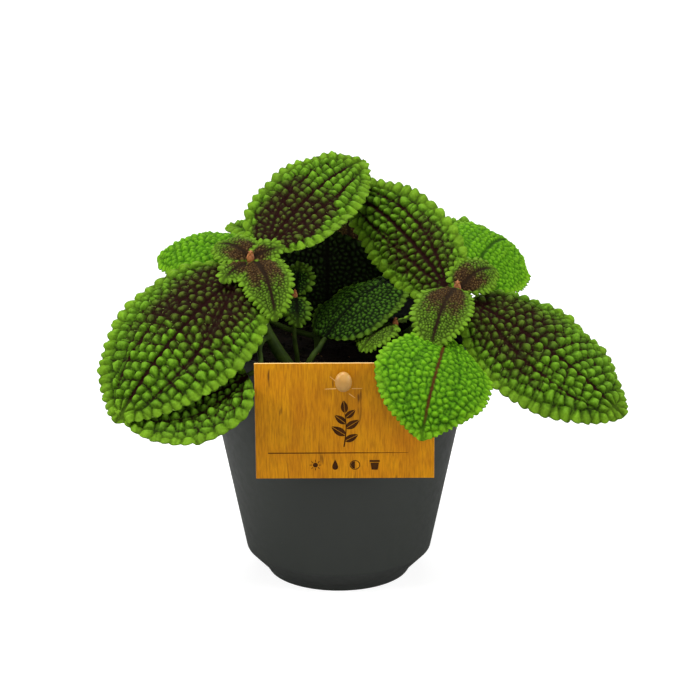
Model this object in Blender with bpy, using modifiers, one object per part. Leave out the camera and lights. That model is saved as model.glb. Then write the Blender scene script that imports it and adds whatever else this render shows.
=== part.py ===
# Potted pilea: a house plant with puckered leaves in a tapered nursery pot with a plant card.
# Metres, +Z up, the origin under the middle of the pot, the card faces -Y.
import math

import bmesh
import bpy
import numpy as np
from mathutils import Matrix, Vector

MM = 0.001

# Pot: radii and heights down its outer side
POT_HEIGHT = 110 * MM
RIM_RADIUS = 60 * MM
RIM_BAND_FOOT = 98 * MM
WALL_TOP_RADIUS = 58 * MM
WALL_FOOT_RADIUS = 40.2 * MM
WALL_FOOT_HEIGHT = 11 * MM
CHAMFER_RADIUS = 32.4 * MM
CHAMFER_HEIGHT = 3 * MM
FOOT_RADIUS = 30.6 * MM
FOOT_RING_WIDTH = 3 * MM
CENTRE_FOOT_RADIUS = 7 * MM
BASE_RAISE = 2.2 * MM
WALL = 1.2 * MM
RIM_EASE = 0.4 * MM
RING_EASE = 0.5 * MM
FLOOR_RADIUS = CHAMFER_RADIUS - 1.9 * WALL
POT_SIDES = 48
DRAIN_HOLE_RADIUS = 3.2 * MM
DRAIN_HOLE_CIRCLE = 18 * MM
DRAIN_HOLES = 6
DRAIN_HOLE_SIDES = 12

# Soil, with the plain holes that the stems stand in
SOIL_TOP = 98 * MM
SOIL_GAP = 0.3 * MM
SOIL_SIDE_GAP = 0.4 * MM
SOIL_EASE = 0.5 * MM
SOIL_LUMP = 1.6 * MM
SOIL_RINGS = 6
STEM_FOOT = 89 * MM
STEM_STRAIGHT = 102 * MM
HOLE_GAP = 0.35 * MM
STEM_HOLE_SIDES = 12

# Stems and leaf stalks
TUBE_ROUNDNESS = 1
TUBE_STEPS = 2

# Plant card and the clip that holds it on the rim
CARD_WIDTH = 74 * MM
CARD_HEIGHT = 52 * MM
CARD_THICKNESS = 0.8 * MM
CARD_CENTRE = Vector((2.75, -60.95, 88.4)) * MM
CARD_LEAN = math.radians(5)
CARD_TURN = math.radians(0.3)
CARD_HOLE_RADIUS = 2.6 * MM
HOLE_DEPTH = 15 * MM
CLIP_X = 2.2 * MM
CLIP_WIDTH = 9 * MM
CLIP_THICKNESS = 1.0 * MM
CLIP_GAP = 0.3 * MM
CLIP_FOOT = 101 * MM
KNOB_HEIGHT = 107 * MM
KNOB_NECK_RADIUS = 2.1 * MM
KNOB_CENTRE_Y = -66 * MM
KNOB_SIZE = Vector((7.0, 4.4, 8.7)) * MM
KNOB_SIDES = 12

# Blades: thickness, height of one pucker, forward lean of the side veins
BLADE = 0.9 * MM
PUCKER = 1.35 * MM
YOUNG_PUCKER = 0.7 * MM
SLANT = 0.09
BASE_HALF_WIDTH = 1.9 * MM
TIP_HALF_WIDTH = 0.5 * MM
BASE_CROWDING = 1.45
TOOTH = 0.045
PETIOLE_GAP = 0.45 * MM
PETIOLE_RADIUS = 1.1 * MM
PETIOLE_LEAD = 5 * MM
PETIOLE_SAG = 0.06
PETIOLE_SWELL = 1.15
MIDRIB_STEPS = 120

# Outline of a blade: how full it is toward its base and toward its tip
BROAD = (0.38, 0.84)
HEART = (0.32, 0.86)
POINTED = (0.46, 0.74)
ROUND = (0.36, 0.66)

# Cells along and across a blade, one pucker in each
LARGE = (10, 6)
MIDDLE = (7, 4)
SMALL = (4, 4)
TINY = (3, 2)


def leaf(base, heading, rise, roll, size, droop, bend=(0, 0), outline=BROAD, cells=LARGE):
    """A blade in mm and degrees: rise at base and tip, droop of both sides, sideways bend and twist."""
    return {
        "base": np.array(base) * MM,
        "heading": heading,
        "rise": rise,
        "roll": roll,
        "length": size[0] * MM,
        "width": size[1] * MM,
        "droop": droop,
        "bend": bend,
        "outline": outline,
        "cells": cells,
    }


LEAVES = {
    "leaf_left_front": leaf((-40.6, -26, 142.4), -143, (-26, -47), -15, (87, 67), (20, 18), (12, -2)),
    "leaf_left_under": leaf((-37.6, -56.6, 104.5), -172, (-33, 13), -10, (58, 47), (14, 10), (0, 0)),
    "leaf_top_left": leaf((-30.8, -14.8, 149.0), 52, (37, 5), 6, (72, 45), (11, 8), (0, 16), ROUND),
    "leaf_back_left": leaf((-43.8, -1, 142.4), 150, (31, -45), -3, (45, 41), (10, 22), (4, -8), cells=MIDDLE),
    "leaf_top_right": leaf((42.2, -10.6, 135.6), 129, (38, 4), -44, (72, 36), (18, 22), (0, -14)),
    "leaf_back_right": leaf((56, -2, 130.5), 67, (38, -31), 26, (57, 47), (22, 25), (0, 4), cells=MIDDLE),
    "leaf_right": leaf((56, -18.5, 127.8), -26, (-20, -44), 20, (83, 58), (33, 24), (8, 4), POINTED),
    "leaf_front_right": leaf((43.5, -43.4, 120.2), -97, (8, -76), -12, (53, 53), (10, 8), (-12, 0), HEART),
    "leaf_inner_right": leaf((-5.6, -19.5, 111.5), 42, (45, -2), -16, (49, 44), (18, 20), (0, 4)),
    "leaf_inner_left": leaf((-5, 16.6, 110.5), 90, (84, 84), 0, (36, 56), (8, 8), (0, 0), cells=MIDDLE),
    "leaf_rear_left": leaf((-5, 35, 130.5), 150, (40, -24), 0, (56, 44), (22, 22), (0, 0), cells=MIDDLE),
    "leaf_rear_right": leaf((15.5, 33, 129.5), 28, (38, -22), 0, (60, 44), (22, 22), (0, 0), cells=MIDDLE),
    "leaf_rear": leaf((5, 43.5, 126), 92, (6, -58), 0, (66, 52), (22, 22), (0, 0), cells=MIDDLE),
    "leaf_low_back_left": leaf((-25, 39, 116.6), 124, (4, -46), 0, (56, 46), (20, 20), (0, 0), cells=MIDDLE),
    "leaf_low_back_right": leaf((21, 34, 116), 50, (6, -40), 0, (58, 46), (20, 20), (0, 0), cells=MIDDLE),
    "leaf_low_left": leaf((-44, 8, 116.8), 172, (6, -50), 0, (50, 44), (20, 20), (0, 0), cells=MIDDLE),
    "leaf_low_right": leaf((44, 10, 116.8), 8, (6, -50), 0, (50, 42), (20, 20), (0, 0), cells=MIDDLE),
}

# Young pairs of blades, fused to the bud between them
TIPS = {
    "shoot_tip_left": {
        "bud": ((-36.7, -22.2, 146.8), (2.6, 2.6, 3.2)),
        "blades": [
            leaf((-38.2, -22.0, 146.2), 148, (46, -40), -12, (22, 20), (24, 21), (0, -5), BROAD, SMALL),
            leaf((-35.2, -23.2, 146.8), -68, (6, -72), 14, (34, 21), (22, 26), (-4, 3), BROAD, SMALL),
        ],
    },
    "shoot_tip_right": {
        "bud": ((50.0, -21.6, 133.4), (2.6, 2.6, 3.2)),
        "blades": [
            leaf((49.4, -22.8, 134.4), -108, (14, -58), -8, (31, 27), (10, 10), (-4, 0), HEART, SMALL),
            leaf((51.2, -20.2, 132.6), 43, (50, -29), 24, (25, 21), (19, 25), (0, 5), BROAD, SMALL),
        ],
    },
    "shoot_tip_back": {
        "bud": ((5, 32, 134.5), (2.4, 2.4, 3.0)),
        "blades": [
            leaf((5, 33, 134), 100, (40, -40), 0, (22, 18), (20, 20), (0, 0), BROAD, SMALL),
            leaf((5, 31, 134), -80, (40, -30), 0, (11, 10), (20, 20), cells=TINY),
        ],
    },
}

# Stems as points up from the soil and radii (mm), and how far up each leaf stalk leaves them
STEMS = {
    "stem_left": {
        "path": [(-21, -30), (-26, -30.5, 110), (-32, -29.5, 122), (-36, -25.5, 134), (-37, -22.5, 143)],
        "radius": (3.1, 1.9),
        "petioles": {
            "leaf_left_front": 0.93,
            "leaf_top_left": 0.96,
            "leaf_left_under": 0.34,
            "leaf_back_left": 0.66,
        },
        "over": {"leaf_left_under": (-32.5, -47.5, 116)},
    },
    "stem_right": {
        "path": [(22, -6), (30, -8, 109), (40, -12.5, 119), (47, -18, 126), (49.6, -21, 129.6)],
        "radius": (3.0, 1.9),
        "petioles": {
            "leaf_top_right": 0.80,
            "leaf_right": 0.92,
            "leaf_back_right": 0.66,
            "leaf_front_right": 0.55,
            "leaf_low_right": 0.20,
        },
    },
    "stem_back": {
        "path": [(4, 22), (5, 25, 112), (5, 30, 123), (5, 31.6, 130.6)],
        "radius": (2.8, 1.8),
        "petioles": {
            "leaf_rear_left": 0.72,
            "leaf_rear_right": 0.74,
            "leaf_rear": 0.62,
            "leaf_low_back_left": 0.22,
            "leaf_low_back_right": 0.26,
        },
    },
    "stem_inner_right": {
        "path": [(-13, -29), (-11, -28, 105.5), (-9, -25.5, 107.5)],
        "radius": (1.5, 1.2),
        "petioles": {"leaf_inner_right": 0.9},
    },
    "stem_inner_left": {
        "path": [(-9, 1), (-10.0, 2.2, 109)],
        "radius": (1.8, 1.4),
        "petioles": {"leaf_inner_left": 0.9, "leaf_low_left": 0.4},
    },
    "shoot_inner_left": {
        "path": [(-17.5, -18), (-18.6, -17.6, 110), (-18.6, -15.5, 127.5)],
        "radius": (1.1, 1.0),
        "petioles": {},
        "tip": {
            "bud": ((-18.4, -15.3, 128.5), (1.8, 1.8, 2.4)),
            "blades": [
                leaf((-18.2, -14.5, 128.5), 80, (66, 30), 0, (16, 14.5), (14, 14), (0, 0), ROUND, SMALL),
                leaf((-18.0, -16.1, 128.1), -84, (-20, -76), 0, (15, 12), (16, 16), (0, 0), ROUND, SMALL),
            ],
        },
    },
    "shoot_inner_right": {
        "path": [(25, -22), (24.6, -22.5, 110), (24, -23, 117)],
        "radius": (1.1, 1.0),
        "petioles": {},
        "tip": {
            "bud": ((24, -23, 118.4), (2.0, 2.0, 2.6)),
            "blades": [
                leaf((23, -24.2, 118.8), -122, (-8, -64), 0, (18, 16), (18, 18), (0, 0), ROUND, SMALL),
                leaf((25.4, -22.4, 119), 10, (40, -20), -30, (12, 9), (18, 18), (0, 0), ROUND, TINY),
            ],
        },
    },
}


def clear_scene():
    """Empty the file and add one collection for the part and one for the cutters."""
    for thing in list(bpy.data.objects):
        bpy.data.objects.remove(thing, do_unlink=True)
    part = bpy.data.collections.new("part")
    cutters = bpy.data.collections.new("cutters")
    bpy.context.scene.collection.children.link(part)
    bpy.context.scene.collection.children.link(cutters)
    return part, cutters


PART, CUTTERS = clear_scene()


def dress(name, thing, colour, rough=0.6, smooth=False):
    """Name the object, put it in the part and give it its own material."""
    thing.name = name
    thing.data.name = name
    material = bpy.data.materials.new(name)
    material.use_nodes = True
    shader = material.node_tree.nodes["Principled BSDF"]
    shader.inputs["Base Color"].default_value = (*colour, 1)
    shader.inputs["Roughness"].default_value = rough
    thing.data.materials.clear()
    thing.data.materials.append(material)
    if smooth:
        thing.data.polygons.foreach_set("use_smooth", [True] * len(thing.data.polygons))
    for home in list(thing.users_collection):
        home.objects.unlink(thing)
    PART.objects.link(thing)
    return thing


def new_object(name, mesh, home):
    thing = bpy.data.objects.new(name, mesh)
    home.objects.link(thing)
    return thing


def from_bmesh(name, shape, home=None):
    bmesh.ops.recalc_face_normals(shape, faces=shape.faces)
    if shape.calc_volume(signed=True) < 0:
        bmesh.ops.reverse_faces(shape, faces=shape.faces)
    mesh = bpy.data.meshes.new(name)
    shape.to_mesh(mesh)
    shape.free()
    return new_object(name, mesh, home or PART)


def applied(thing):
    """Replace the object's mesh by what its modifiers make of it."""
    graph = bpy.context.evaluated_depsgraph_get()
    mesh = bpy.data.meshes.new_from_object(thing.evaluated_get(graph))
    thing.modifiers.clear()
    thing.data = mesh
    return thing


def hide_cutter(thing):
    thing.hide_render = True
    thing.display_type = "WIRE"
    return thing


def cylinder(name, radius, start, end, sides, home):
    """A round bar between two points."""
    start, end = Vector(start), Vector(end)
    shape = bmesh.new()
    bmesh.ops.create_cone(
        shape,
        cap_ends=True,
        segments=sides,
        radius1=radius,
        radius2=radius,
        depth=(end - start).length,
    )
    turn = Vector((0, 0, 1)).rotation_difference(end - start).to_matrix().to_4x4()
    shape.transform(Matrix.Translation((start + end) / 2) @ turn)
    return from_bmesh(name, shape, home)


def ball(name, centre, radii, home, rings=6, sides=8):
    shape = bmesh.new()
    bmesh.ops.create_uvsphere(shape, u_segments=sides, v_segments=rings, radius=1)
    shape.transform(Matrix.Translation(centre) @ Matrix.Diagonal((*radii, 1)))
    return from_bmesh(name, shape, home)


def block(name, size, centre, home):
    shape = bmesh.new()
    bmesh.ops.create_cube(shape, size=1)
    shape.transform(Matrix.Translation(centre) @ Matrix.Diagonal((*size, 1)))
    return from_bmesh(name, shape, home)


def tube(name, points, radii, home, straight=0):
    """A round bar bent through the points, with its first few points joined by straight lines."""
    curve = bpy.data.curves.new(name, "CURVE")
    curve.dimensions = "3D"
    curve.bevel_depth = 1.0
    curve.bevel_resolution = TUBE_ROUNDNESS
    curve.resolution_u = TUBE_STEPS
    curve.use_fill_caps = True
    line = curve.splines.new("BEZIER")
    line.bezier_points.add(len(points) - 1)
    for index, knot in enumerate(line.bezier_points):
        knot.co = Vector(points[index])
        knot.radius = np.interp(index / (len(points) - 1), (0, 1), radii)
        knot.handle_left_type = "VECTOR" if index < straight else "AUTO"
        knot.handle_right_type = knot.handle_left_type
    drawn = bpy.data.objects.new(name, curve)
    home.objects.link(drawn)
    graph = bpy.context.evaluated_depsgraph_get()
    mesh = bpy.data.meshes.new_from_object(drawn.evaluated_get(graph))
    bpy.data.objects.remove(drawn, do_unlink=True)
    shape = bmesh.new()
    shape.from_mesh(mesh)
    bmesh.ops.remove_doubles(shape, verts=shape.verts, dist=0.01 * MM)
    return from_bmesh(name, shape, home)


def fuse(name, pieces):
    """One closed body out of overlapping pieces."""
    home = bpy.data.collections.new(name + "_pieces")
    bpy.context.scene.collection.children.link(home)
    first, others = pieces[0], pieces[1:]
    for piece in others:
        for old in list(piece.users_collection):
            old.objects.unlink(piece)
        home.objects.link(piece)
    join = first.modifiers.new("join", "BOOLEAN")
    join.operation = "UNION"
    join.operand_type = "COLLECTION"
    join.collection = home
    join.solver = "EXACT"
    applied(first)
    for piece in others:
        bpy.data.objects.remove(piece, do_unlink=True)
    bpy.data.collections.remove(home)
    return first


def spun(name, profile, sides):
    """A body of revolution from (radius, height) points, inner floor first and down the outer side."""
    mesh = bpy.data.meshes.new(name)
    points = [(radius, 0, height) for radius, height in profile]
    mesh.from_pydata(points, [(i, i + 1) for i in range(len(points) - 1)], [])
    thing = new_object(name, mesh, PART)
    screw = thing.modifiers.new("spin", "SCREW")
    screw.steps = sides
    screw.render_steps = sides
    screw.use_merge_vertices = True
    screw.merge_threshold = 0.01 * MM
    screw.use_smooth_shade = True
    return thing


def cut(thing, cutters):
    """Take the cutters away from the object, as a live modifier."""
    home = bpy.data.collections.new(thing.name + "_cutters")
    CUTTERS.children.link(home)
    for cutter in cutters:
        for old in list(cutter.users_collection):
            old.objects.unlink(cutter)
        home.objects.link(hide_cutter(cutter))
    drill = thing.modifiers.new("holes", "BOOLEAN")
    drill.operation = "DIFFERENCE"
    drill.operand_type = "COLLECTION"
    drill.collection = home
    drill.solver = "EXACT"
    return thing


def build_pot():
    floor = BASE_RAISE + WALL
    ring = FOOT_RADIUS - FOOT_RING_WIDTH
    rim_inside = RIM_RADIUS - WALL
    profile = [
        (0, floor),
        (FLOOR_RADIUS, floor),
        (WALL_FOOT_RADIUS - WALL, WALL_FOOT_HEIGHT + 0.4 * WALL),
        (WALL_TOP_RADIUS - WALL, RIM_BAND_FOOT),
        (rim_inside, RIM_BAND_FOOT + WALL),
        (rim_inside, POT_HEIGHT - RIM_EASE),
        (rim_inside + RIM_EASE, POT_HEIGHT),
        (RIM_RADIUS - RIM_EASE, POT_HEIGHT),
        (RIM_RADIUS, POT_HEIGHT - RIM_EASE),
        (RIM_RADIUS, RIM_BAND_FOOT + RIM_EASE),
        (RIM_RADIUS - RIM_EASE, RIM_BAND_FOOT),
        (WALL_TOP_RADIUS, RIM_BAND_FOOT - RIM_EASE / 2),
        (WALL_FOOT_RADIUS, WALL_FOOT_HEIGHT),
        (CHAMFER_RADIUS, CHAMFER_HEIGHT),
        (FOOT_RADIUS, 0),
        (ring, 0),
        (ring - RING_EASE, BASE_RAISE),
        (CENTRE_FOOT_RADIUS + RING_EASE, BASE_RAISE),
        (CENTRE_FOOT_RADIUS, 0),
        (0, 0),
    ]
    pot = spun("pot", profile, POT_SIDES)
    holes = []
    for index in range(DRAIN_HOLES):
        turn = math.tau * (index + 0.5) / DRAIN_HOLES
        x = DRAIN_HOLE_CIRCLE * math.cos(turn)
        y = DRAIN_HOLE_CIRCLE * math.sin(turn)
        ends = ((x, y, -1 * MM), (x, y, floor + 1 * MM))
        holes.append(cylinder("drain_hole", DRAIN_HOLE_RADIUS, *ends, DRAIN_HOLE_SIDES, CUTTERS))
    cut(pot, holes)
    dress("pot", pot, (0.035, 0.04, 0.04), 0.55)


def stem_holes():
    """A plain hole in the soil round the upright foot of each stem."""
    holes = []
    for stem in STEMS.values():
        x, y = (value * MM for value in stem["path"][0])
        radius = stem["radius"][0] * MM + HOLE_GAP
        ends = ((x, y, STEM_FOOT - HOLE_GAP), (x, y, SOIL_TOP + 4 * SOIL_LUMP))
        holes.append(cylinder("stem_hole", radius, *ends, STEM_HOLE_SIDES, CUTTERS))
    return holes


def lump(x, y):
    """Height of the uneven soil above its mean level."""
    a, b = x / MM, y / MM
    rolling = math.sin(a / 7.3 + 1.1) * math.cos(b / 6.1 - 0.4)
    crumbs = math.sin(a / 3.1 + b / 4.7) * math.sin(b / 2.9 - a / 5.3 + 2)
    return SOIL_LUMP * (0.6 * rolling + 0.4 * crumbs)


def build_soil():
    foot = BASE_RAISE + WALL + SOIL_GAP
    edge = WALL_TOP_RADIUS - WALL - SOIL_SIDE_GAP
    rings = [(edge * index / SOIL_RINGS, SOIL_TOP) for index in range(SOIL_RINGS)]
    profile = rings + [
        (edge - SOIL_EASE, SOIL_TOP - WALL),
        (WALL_FOOT_RADIUS - WALL - SOIL_SIDE_GAP, WALL_FOOT_HEIGHT + 0.5 * WALL),
        (FLOOR_RADIUS - SOIL_GAP, foot),
        (0, foot),
    ]
    soil = applied(spun("soil", profile, POT_SIDES))
    for point in soil.data.vertices:
        if point.co.z > SOIL_TOP - 0.1 * MM:
            point.co.z += lump(point.co.x, point.co.y)
    cut(soil, stem_holes())
    dress("soil", soil, (0.03, 0.018, 0.01), 0.95)


def card_turn():
    lean = Matrix.Rotation(CARD_LEAN, 4, "X")
    turn = Matrix.Rotation(-CARD_TURN, 4, "Y")
    return Matrix.Translation(CARD_CENTRE) @ lean @ turn


def build_card():
    card = block("label_card", (CARD_WIDTH, CARD_THICKNESS, CARD_HEIGHT), (0, 0, 0), PART)
    card.matrix_world = card_turn()
    half = (0, HOLE_DEPTH / 2, 0)
    centre = Vector((CLIP_X, CARD_CENTRE.y, KNOB_HEIGHT))
    ends = (centre - Vector(half), centre + Vector(half))
    cut(card, [cylinder("slit", CARD_HOLE_RADIUS, *ends, KNOB_SIDES, CUTTERS)])
    dress("label_card", card, (0.55, 0.24, 0.03), 0.5)


def build_clip():
    """A hook over the rim whose knob goes through the card."""
    half = CLIP_WIDTH / 2
    widest = half + abs(CLIP_X)
    rim_back = math.sqrt((RIM_RADIUS - WALL) ** 2 - widest**2) * math.cos(math.pi / POT_SIDES)
    front = -RIM_RADIUS - CLIP_GAP
    back = -rim_back + CLIP_GAP
    top = POT_HEIGHT + CLIP_GAP
    y_outer = front - CLIP_THICKNESS
    y_inner = back + CLIP_THICKNESS
    outline = [
        (front, CLIP_FOOT),
        (y_outer, CLIP_FOOT),
        (y_outer, top + CLIP_THICKNESS),
        (y_inner, top + CLIP_THICKNESS),
        (y_inner, CLIP_FOOT),
        (back, CLIP_FOOT),
        (back, top),
        (front, top),
    ]
    shape = bmesh.new()
    corners = [shape.verts.new((CLIP_X - half, y, z)) for y, z in outline]
    side = shape.faces.new(corners)
    grown = bmesh.ops.extrude_face_region(shape, geom=[side])
    moved = [item for item in grown["geom"] if isinstance(item, bmesh.types.BMVert)]
    bmesh.ops.translate(shape, verts=moved, vec=(CLIP_WIDTH, 0, 0))
    hook = from_bmesh("hook", shape)
    ends = ((CLIP_X, y_outer + 0.5 * CLIP_THICKNESS, KNOB_HEIGHT), (CLIP_X, KNOB_CENTRE_Y, KNOB_HEIGHT))
    neck = cylinder("neck", KNOB_NECK_RADIUS, *ends, KNOB_SIDES, PART)
    knob = ball("knob", (CLIP_X, KNOB_CENTRE_Y, KNOB_HEIGHT), KNOB_SIZE / 2, PART, 8, 12)
    dress("label_clip", fuse("label_clip", [hook, neck, knob]), (0.6, 0.45, 0.25), 0.5)


def half_width(blade, along):
    """Half the width of the blade at a share of its length."""
    base, tip = blade["outline"]
    widest = base / (base + tip)
    along = np.clip(along, 0, 1)
    shape = along**base * (1 - along) ** tip / (widest**base * (1 - widest) ** tip)
    narrow = BASE_HALF_WIDTH + (TIP_HALF_WIDTH - BASE_HALF_WIDTH) * along
    return np.maximum(shape * blade["width"] / 2, narrow)


def midrib(blade):
    """Points and the three directions (along, side, up) down the midrib."""
    share = np.linspace(0, 1, MIDRIB_STEPS)
    rise = np.radians(blade["rise"][0] + (blade["rise"][1] - blade["rise"][0]) * share)
    heading = np.radians(blade["heading"] + blade["bend"][0] * share)
    roll = np.radians(blade["roll"] + blade["bend"][1] * share)[:, None]
    along = np.stack([np.cos(rise) * np.cos(heading), np.cos(rise) * np.sin(heading), np.sin(rise)], 1)
    level = np.stack([-np.sin(heading), np.cos(heading), 0 * heading], 1)
    upright = np.cross(along, level)
    side = np.cos(roll) * level + np.sin(roll) * upright
    up = np.cos(roll) * upright - np.sin(roll) * level
    steps = (along[1:] + along[:-1]) / 2 * blade["length"] / (MIDRIB_STEPS - 1)
    points = blade["base"] + np.concatenate([np.zeros((1, 3)), np.cumsum(steps, 0)])
    return points, along, side, up


def on_blade(blade, frames, along, across, lift):
    """The point at a share of the length and of the half width (-1 to 1), raised above the blade."""
    points, _, side, up = frames
    forward = SLANT * abs(across) * 4 * along * (1 - along) * (1 - 0.35 * along)
    place = min(max(along + forward, 0), 1) * (MIDRIB_STEPS - 1)
    index = min(int(place), MIDRIB_STEPS - 2)
    part = place - index
    middle, sideways, upward = (row[index] * (1 - part) + row[index + 1] * part for row in (points, side, up))
    angle = math.radians(blade["droop"][0] if across > 0 else blade["droop"][1])
    width = float(half_width(blade, along))
    out = width * math.sin(angle * abs(across)) / angle * math.copysign(1, across)
    down = width * (1 - math.cos(angle * abs(across))) / angle
    return Vector(middle + sideways * out + upward * (lift - down))


def build_blade(name, blade, pucker, home):
    """A puckered blade with a toothed edge, the same shape on both faces."""
    rows, columns = blade["cells"]
    shape = bmesh.new()
    bmesh.ops.create_grid(shape, x_segments=rows, y_segments=columns, size=1)
    edges = [edge for edge in shape.edges if all(abs(abs(v.co.y) - 1) < 1e-4 for v in edge.verts)]
    long_edges = [edge for edge in edges if abs(edge.verts[0].co.x - edge.verts[1].co.x) > 1e-4]
    split = bmesh.ops.subdivide_edges(shape, edges=long_edges, cuts=1)
    teeth = {item for item in split["geom_inner"] if isinstance(item, bmesh.types.BMVert)}
    for vert in shape.verts:
        if abs(abs(vert.co.y) - 1) < 1e-4:
            vert.co.y *= 1 + TOOTH if vert in teeth else 1 - TOOTH
    flat = set(shape.verts)
    bmesh.ops.poke(shape, faces=shape.faces, center_mode="MEAN")
    frames = midrib(blade)
    for vert in shape.verts:
        share = (vert.co.x + 1) / 2
        along = share**BASE_CROWDING
        lift = 0 if vert in flat else pucker
        vert.co = on_blade(blade, frames, along, vert.co.y, lift)
    shape.normal_update()
    mesh = bpy.data.meshes.new(name)
    shape.to_mesh(mesh)
    shape.free()
    thing = new_object(name, mesh, home)
    thick = thing.modifiers.new("thickness", "SOLIDIFY")
    thick.thickness = BLADE
    thick.offset = -1
    thick.use_even_offset = False
    return applied(thing)


def along_path(points, share):
    """The point at a share of the length of a line through the points."""
    steps = [(b - a).length for a, b in zip(points, points[1:])]
    left = share * sum(steps)
    for start, end, step in zip(points, points[1:], steps):
        if left <= step:
            return start.lerp(end, left / step)
        left -= step
    return points[-1]


def stem_points(stem):
    """The stem's foot, its way out of the soil and its points above it."""
    x, y = stem["path"][0]
    foot = [Vector((x * MM, y * MM, STEM_FOOT)), Vector((x * MM, y * MM, STEM_STRAIGHT))]
    return foot + [Vector(point) * MM for point in stem["path"][1:]]


def petiole(name, start, blade, over=None):
    """A leaf stalk from the stem to just before the base of a blade, by way of a point if one is given."""
    _, along, _, up = midrib(blade)
    forward, upward = Vector(along[0]), Vector(up[0])
    end = Vector(blade["base"]) - forward * PETIOLE_GAP - upward * BLADE / 2
    lead = min(PETIOLE_LEAD, 0.4 * (end - start).length)
    bend = end - forward * lead
    middle = start.lerp(bend, 0.5) - Vector((0, 0, PETIOLE_SAG)) * (bend - start).length
    if over:
        middle = Vector(over) * MM
    return tube(name, [start, middle, bend, end], (PETIOLE_RADIUS * PETIOLE_SWELL, PETIOLE_RADIUS), PART)


def build_stem(name, stem):
    """A stem with its leaf stalks, and the bud and young blades if it ends in any."""
    points = stem_points(stem)
    thick, thin = (radius * MM for radius in stem["radius"])
    pieces = [tube(name, points, (thick, thin), PART, 2)]
    for leaf_name, share in stem["petioles"].items():
        start = along_path(points[1:], share)
        over = stem.get("over", {}).get(leaf_name)
        pieces.append(petiole("petiole", start, LEAVES[leaf_name], over))
    if "tip" in stem:
        pieces += tip_pieces(stem["tip"])
    dress(name, fuse(name, pieces), (0.16, 0.22, 0.06), 0.6, True)


def tip_pieces(tip):
    centre, radii = tip["bud"]
    pieces = [ball("bud", Vector(centre) * MM, Vector(radii) * MM, PART)]
    for blade in tip["blades"]:
        pieces.append(build_blade("young", blade, YOUNG_PUCKER, PART))
    return pieces


def build_tip(name, tip):
    dress(name, fuse(name, tip_pieces(tip)), (0.16, 0.16, 0.05), 0.7)


def build_all():
    build_pot()
    build_soil()
    build_card()
    build_clip()
    for name, stem in STEMS.items():
        build_stem(name, stem)
    for name, tip in TIPS.items():
        build_tip(name, tip)
    for name, blade in LEAVES.items():
        dress(name, build_blade(name, blade, PUCKER, PART), (0.12, 0.24, 0.03), 0.6)


build_all()
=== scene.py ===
# Potted pilea, dressed: blistered leaves with maroon veins, a matte nursery pot, crumbly soil and a card.
# Metres, +Z up, the origin under the middle of the pot, the card faces -Y.
import math

import bmesh
import bpy
import numpy as np
from mathutils import Matrix, Vector


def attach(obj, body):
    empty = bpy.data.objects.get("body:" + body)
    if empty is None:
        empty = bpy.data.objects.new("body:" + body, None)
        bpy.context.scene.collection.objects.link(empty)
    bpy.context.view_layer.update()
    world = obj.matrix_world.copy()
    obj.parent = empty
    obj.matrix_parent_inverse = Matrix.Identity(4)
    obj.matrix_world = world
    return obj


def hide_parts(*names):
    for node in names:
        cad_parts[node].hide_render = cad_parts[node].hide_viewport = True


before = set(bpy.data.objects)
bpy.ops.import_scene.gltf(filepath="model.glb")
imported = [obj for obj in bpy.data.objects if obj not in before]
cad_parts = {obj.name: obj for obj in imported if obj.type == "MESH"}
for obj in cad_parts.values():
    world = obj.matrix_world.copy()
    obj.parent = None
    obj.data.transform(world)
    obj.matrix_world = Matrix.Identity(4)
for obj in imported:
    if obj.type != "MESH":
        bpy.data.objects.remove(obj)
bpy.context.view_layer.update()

MM = 0.001

# Camera: the photograph is square and taken from a little above the pot
CAMERA_ANGLE = math.radians(18)
CAMERA_DISTANCE = 1.30
CAMERA_AIM = Vector((4.9, 0, 99.3)) * MM
CAMERA_LENS = 155.3
CAMERA_SENSOR = 36

# Studio: the white world, and each light's place, the height that it faces, its size and its watts
WORLD_LIGHT = 0.26
LIGHTS = {
    "top_light": ((-0.2, -0.3, 1.55), 0.12, 1.0, 27),
    "front_light": ((0.3, -1.8, 0.7), 0.1, 1.2, 5),
    "left_light": ((-1.3, -0.5, 0.6), 0.1, 0.8, 13.5),
    "right_light": ((1.3, -0.5, 0.6), 0.1, 0.8, 13.5),
    "back_light": ((0.1, 1.3, 1.3), 0.1, 0.8, 6),
}
FLOOR_SIZE = 6
FLOOR_GREY = 0.4
FLOOR_GLOW = 0.8

# Pot: radii and heights down its outer side
POT_HEIGHT = 110 * MM
RIM_RADIUS = 60 * MM
RIM_BAND_FOOT = 98 * MM
WALL_TOP_RADIUS = 58 * MM
WALL_FOOT_RADIUS = 40.2 * MM
WALL_FOOT_HEIGHT = 11 * MM
CHAMFER_RADIUS = 32.4 * MM
CHAMFER_HEIGHT = 3 * MM
FOOT_RADIUS = 30.6 * MM
FOOT_RING_WIDTH = 3 * MM
CENTRE_FOOT_RADIUS = 7 * MM
BASE_RAISE = 2.2 * MM
WALL = 1.2 * MM
POT_SIDES = 160
DRAIN_HOLE_RADIUS = 3.2 * MM
DRAIN_HOLE_CIRCLE = 18 * MM
DRAIN_HOLES = 6
DRILL_OVERRUN = 1 * MM
POT_EDGE_ROUND = 0.55 * MM
CORNER_SHARE = 0.45
POT_SHARP_ANGLE = math.radians(40)
FLOOR_RADIUS = CHAMFER_RADIUS - 1.9 * WALL
INNER_FOOT_HEIGHT = WALL_FOOT_HEIGHT + 0.4 * WALL
RIM_LEDGE_TOP = RIM_BAND_FOOT + 1.2 * WALL
BAND_SLOPE = 0.2 * MM
RING_SLOPE = 0.5 * MM

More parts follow.
